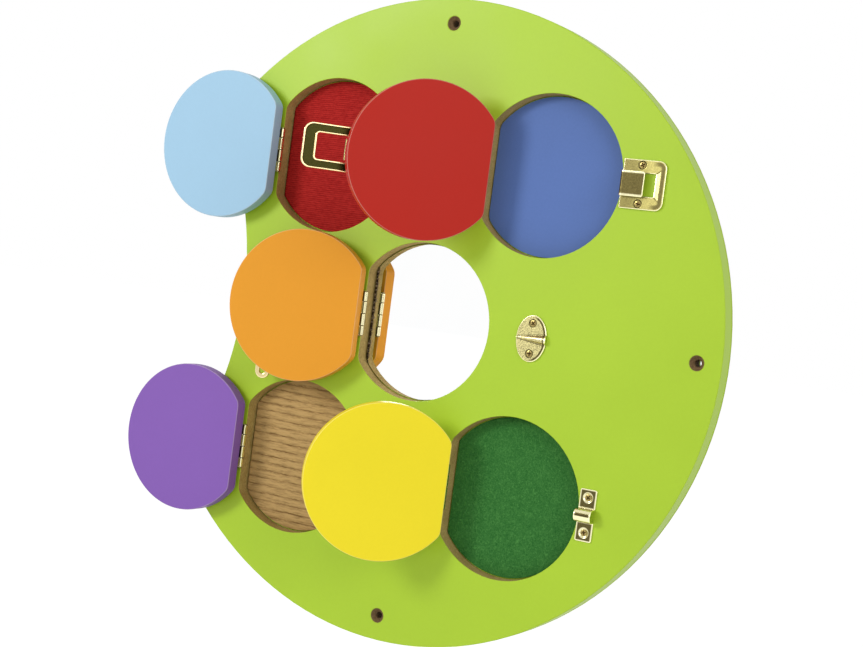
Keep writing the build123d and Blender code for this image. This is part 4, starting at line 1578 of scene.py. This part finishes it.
@dataclass
class Hinges:
    """The two leaves of every door's hinge, with rounded knuckles."""

    openings: tuple[Opening, ...]
    length: float = 40.0
    barrel: float = 2.5
    bore: float = 1.25
    knuckle_round: float = 0.7
    knuckle_rows: int = 60
    knuckle_columns: int = 48
    # painted highlight on the knuckles, and painted shade at their ends and in the crook
    knuckle_rim: float = 0.95
    shade_ends: Spot = (0.2, 0.7)
    shade_crook: Spot = (-0.65, -0.3)
    leaf: Corner = (2.85, 16.0, 1.2)
    leaf_edge: float = 0.3
    leaf_rows: int = 200
    leaf_columns: int = 44
    leaf_corners: Spot = (0.1, 1.5)
    seat: Spot = (9.5, 12.5)
    well: Spot = (3.7, 0.45)
    neck_rows: int = 12
    neck_overlap: float = 1.5
    neck_corner: float = 0.2
    shares: tuple[float, ...] = (0.22, 0.28, 0.28, 0.22)
    gap: float = 0.25

    def knuckle(self, skin: Skin, side: int, low: float, high: float) -> None:
        """Add one knuckle: a closed section turned about the hinge line, and the neck to its leaf.

        The section runs along the barrel with a quarter round at each end and back through the bore. It
        carries painted shade at its ends and in the crook beside its leaf, and a painted highlight elsewhere.

        Args:
            skin: The mesh that takes the knuckle.
            side: -1 on the board, 1 on the door.
            low: Lower end.
            high: Upper end.
        """
        bend, bore = self.knuckle_round, self.bore
        run = low + (high - low) * (1 - np.cos(np.linspace(0, pi, self.knuckle_rows))) / 2
        inside = np.minimum(run - low, high - run)
        far = np.concatenate([self.barrel + quarter_round(inside, bend), [bore, bore]])[:, None]
        along = np.concatenate([run, [high, low]])[:, None]
        ends = np.concatenate([eased(1 - inside / bend, *self.shade_ends), [1.0, 1.0]])
        angles = around(self.knuckle_columns)[None, :]
        out = self.barrel + far * np.sin(angles)
        places = np.stack(np.broadcast_arrays(far * np.cos(angles), along, out), axis=-1)
        crook = np.maximum(ends[:, None], eased(side * np.cos(angles), *self.shade_crook))
        skin.grid(places, self.knuckle_rim * (1 - crook), True, True, crook)
        start, _, thick = self.leaf
        neck = side * np.linspace(0.0, start + self.neck_overlap, self.neck_rows)
        path = np.stack([neck, np.full_like(neck, thick / 2)], axis=-1)[::side]
        Strip(path, np.full_like(neck, high - low), thick, self.neck_corner).add(
            skin, lambda reach, width, rise: (reach, (low + high) / 2 - width, rise))

    def side(self, side: int) -> Skin:
        """Build one leaf: a plate with two sunk screw seats and every second knuckle.

        Args:
            side: -1 on the board, 1 on the door.

        Returns:
            The mesh.
        """
        skin = Skin()
        start, far, thick = self.leaf
        inner, outer = sorted((side * start, side * far))
        across, up = self.seat
        sink = wells([(side * across, up), (side * across, -up)], *self.well)
        outline = box_outline(inner, outer, self.length / 2, *self.leaf_corners[::side])
        PressedPlate(outline, ((inner + outer) / 2, 0.0), thick, self.leaf_edge, sink,
                     rows=self.leaf_rows, columns=self.leaf_columns).add(skin)
        tops = self.length / 2 - self.length * np.concatenate([[0.0], np.cumsum(self.shares)])
        last = len(self.shares) - 1
        for number in range(0 if side < 0 else 1, len(self.shares), 2):
            low = tops[number + 1] + (self.gap / 2 if number < last else 0.0)
            high = tops[number] - (self.gap / 2 if number > 0 else 0.0)
            self.knuckle(skin, side, low, high)
        return skin

    def build(self) -> None:
        """Build both leaves of every hinge."""
        finish = RimmedBrass("rolled hinge", gloss=0.24, grain=0.15)
        for opening in self.openings:
            leaf, door = f"{opening.colour}_board_leaf", f"{opening.colour}_door"
            self.side(-1).stand_in(leaf, "rolled", opening.hinge(0.0).carry, "board", finish)
            self.side(1).stand_in(f"{door}_leaf", "rolled", opening.hinge().carry, door, finish)


@dataclass
class Doors:
    """The five doors, each a D-shaped board with rounded edges."""

    openings: tuple[Opening, ...]
    radius: float = 69.72
    chord: float = 56.48
    corner: float = 10.4
    thick: float = 11.98
    edge: float = 0.8
    columns: int = 360
    edge_rows: int = 9
    face_shares: tuple[float, ...] = (0.02, 0.25, 0.5, 0.75, 0.93, 0.99, 0.997)

    def board(self) -> Skin:
        """Build one closed door: rows are stations of its section and columns are angles about its centre.

        The section runs from the middle of the front out to the edge, over a quarter round, down the side,
        over a second quarter round and back to the middle of the rear. The rim level is the sine of twice
        the turn on each round.

        Returns:
            The mesh.
        """
        outline = d_outline(self.radius, self.chord, self.corner)
        angles = around(self.columns)
        turns = np.linspace(0, pi / 2, self.edge_rows)
        face = np.full(len(self.face_shares), self.edge)
        inset = np.concatenate([face, self.edge * (1 - np.sin(turns))])
        share = np.concatenate([self.face_shares, np.ones(len(turns))])[:, None]
        height = np.concatenate([face * 0, self.edge * (np.cos(turns) - 1)])
        # the rim level sets the painted highlight on the rounded edges
        rim = np.concatenate([face * 0, np.sin(2 * turns)])
        limit = 2 * self.radius
        far = share * np.stack([far_along(outline, (0.0, 0.0), angles, limit, step) for step in inset])
        run = np.concatenate([far, far[::-1]])
        rise = np.concatenate([height, -self.thick - height[::-1]])[:, None]
        places = np.stack([AXIS_FROM_CENTRE + run * np.cos(angles), run * np.sin(angles),
                           np.broadcast_to(rise, run.shape)], axis=-1)
        skin = Skin()
        skin.tube(places, np.concatenate([rim, rim[::-1]])[:, None])
        return skin

    def build(self) -> None:
        """Build every door where it stands."""
        for opening in self.openings:
            colour = opening.colour
            finish = SatinPaint(f"{colour} paint", Shade[colour.upper()])
            self.board().stand_in(f"{colour}_door", "board", opening.hinge().carry, f"{colour}_door", finish,
                                  f"{colour}_paint")


@dataclass
class CarriedNodes:
    """The CAD nodes that keep their mesh and get a finish."""

    openings: tuple[Opening, ...]
    holes: tuple[Spot, ...] = ((0.268, 0.0), (0.0, 0.268), (0.0, -0.268))
    screw_gloss: float = 0.34

    def dress(self) -> None:
        """Give each CAD node its material."""
        spots = tuple((opening.x, opening.z) for opening in self.openings)
        special = {
            "front_board": BoardPaint("lime board", spots, self.holes).material(),
            "back_panel": PanelBoard("hardboard panel").material(),
            "blue_inlay": SmoothSheet("smooth blue sheet", Shade.SMOOTH_BLUE).material(),
            "mirror_inlay": MirrorSheet("mirror sheet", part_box("mirror_inlay")[0][0]).material(),
        }
        brass = PlatedBrass("brass plate").material()
        bronze = PlatedBrass("bronzed screw", Shade.BRASS, Shade.BRONZE, self.screw_gloss).material()
        for name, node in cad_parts.items():
            finish = special.get(name, bronze if "screws" in name else brass)
            node.data.materials.clear()
            node.data.materials.append(finish)
            LOG.info("%s: %s", name, finish.name)


@dataclass
class Studio:
    """Camera, soft light, white surroundings and a floor that takes the shadow."""

    azimuth: float = radians(29.06)
    elevation: float = radians(1.93)
    roll: float = radians(7.45)
    distance: float = 1.496
    target: Corner = (0.0169, -0.018, 0.0001)
    lens: float = 69.96
    sensor: float = 36.0
    clip: Spot = (0.05, 60.0)
    world_levels: Spot = (0.5, 1.0)
    key_place: Corner = (-1.085, -1.609, 0.62)
    key_size: float = 0.6
    key_watts: float = 16.0
    side_place: Corner = (2.0, -1.4, 0.9)
    side_size: float = 1.4
    side_watts: float = 18.0
    floor_z: float = -0.62
    floor_half: float = 14.0
    floor_grey: Rgba = (0.86, 0.86, 0.86, 1.0)
    floor_gloss: float = 0.9
    floor_glow: float = 0.6

    def camera(self) -> None:
        """Set the camera on its sphere around the target, turned about its own axis."""
        back = Vector((sin(self.azimuth) * cos(self.elevation), -cos(self.azimuth) * cos(self.elevation),
                       sin(self.elevation)))
        right = Vector((cos(self.azimuth), sin(self.azimuth), 0.0))
        up = back.cross(right)
        turned = cos(self.roll) * right + sin(self.roll) * up
        upright = cos(self.roll) * up - sin(self.roll) * right
        data = bpy.data.cameras.new("camera")
        data.sensor_fit, data.sensor_width, data.lens = "HORIZONTAL", self.sensor, self.lens
        data.clip_start, data.clip_end = self.clip
        camera = bpy.data.objects.new("camera", data)
        pose = Matrix((turned, upright, back)).transposed().to_4x4()
        camera.matrix_world = Matrix.Translation(Vector(self.target) + back * self.distance) @ pose
        bpy.context.scene.collection.objects.link(camera)
        bpy.context.scene.camera = camera

    def lamp(self, name: str, place: Corner, size: float, power: float) -> None:
        """Hang a square soft lamp that looks at the board.

        Args:
            name: The lamp's name.
            place: Where it hangs, in metres.
            size: Length of its side.
            power: Its power in watts.
        """
        data = bpy.data.lights.new(name, "AREA")
        data.shape, data.size, data.energy = "SQUARE", size, power
        lamp = bpy.data.objects.new(name, data)
        aim = (Vector(self.target) - Vector(place)).to_track_quat("-Z", "Y")
        lamp.matrix_world = Matrix.Translation(Vector(place)) @ aim.to_matrix().to_4x4()
        bpy.context.scene.collection.objects.link(lamp)

    def seen_white(self, graph: Graph, start: float, end: float) -> Socket:
        """Return a level that is at its end for rays that show the surroundings, else at its start."""
        rays = graph.add("ShaderNodeLightPath").outputs
        seen = graph.sums("MAXIMUM", rays["Is Camera Ray"], rays["Is Glossy Ray"])
        seen = graph.sums("MAXIMUM", seen, rays["Is Transmission Ray"])
        return graph.span(seen, 0.0, 1.0, start, end)

    def surroundings(self) -> None:
        """Make the world white where it is seen and plain elsewhere."""
        world = bpy.data.worlds.new("studio")
        world.use_nodes = True
        bpy.context.scene.world = world
        graph = Graph(world.node_tree)
        background = world.node_tree.nodes["Background"]
        background.inputs["Color"].default_value = Shade.STUDIO.rgba
        graph.tree.links.new(self.seen_white(graph, *self.world_levels), background.inputs["Strength"])

    def floor(self) -> None:
        """Lay a pale floor that darkens only in the shadow."""
        half = self.floor_half
        spots = ((-half, -half), (half, -half), (half, half), (-half, half))
        corners = [(x, y, self.floor_z) for x, y in spots]
        mesh = bpy.data.meshes.new("floor")
        mesh.from_pydata(corners, [], [(0, 1, 2, 3)])
        floor = bpy.data.objects.new("floor", mesh)
        bpy.context.scene.collection.objects.link(floor)
        material, graph, shader = Finish("pale floor").start()
        settings = {"Base Color": self.floor_grey, "Roughness": self.floor_gloss, "Specular IOR Level": 0.0,
                    "Emission Color": Shade.STUDIO.rgba}
        for key, value in settings.items():
            shader.inputs[key].default_value = value
        graph.tree.links.new(self.seen_white(graph, 0.0, self.floor_glow), shader.inputs["Emission Strength"])
        mesh.materials.append(material)

    def build(self) -> None:
        """Set camera, lamps, world and floor."""
        bpy.context.scene.view_settings.view_transform = "Standard"
        self.camera()
        self.surroundings()
        self.floor()
        self.lamp("key lamp", self.key_place, self.key_size, self.key_watts)
        self.lamp("side lamp", self.side_place, self.side_size, self.side_watts)


def main() -> None:
    """Build the board's looks in order."""
    logging.basicConfig(level=logging.INFO, format="%(name)s %(message)s")
    sky = Opening("sky", -COLUMN, ROW, "ribbed_inlay", 180.0)
    red = Opening("red", COLUMN, ROW, "blue_inlay", 138.0)
    orange = Opening("orange", MIDDLE, 0.0, "mirror_inlay", 169.0)
    purple = Opening("purple", -COLUMN, -ROW, "corrugated_inlay", 180.0)
    yellow = Opening("yellow", COLUMN, -ROW, "felt_inlay", 143.0)
    openings = (sky, red, orange, purple, yellow)
    CarriedNodes(openings).dress()
    Inlays(openings).build()
    Doors(openings).build()
    Hinges(openings).build()
    Catches(red.hinge(), orange.hinge()).build()
    Studio().build()


if __name__ == "__main__":
    main()
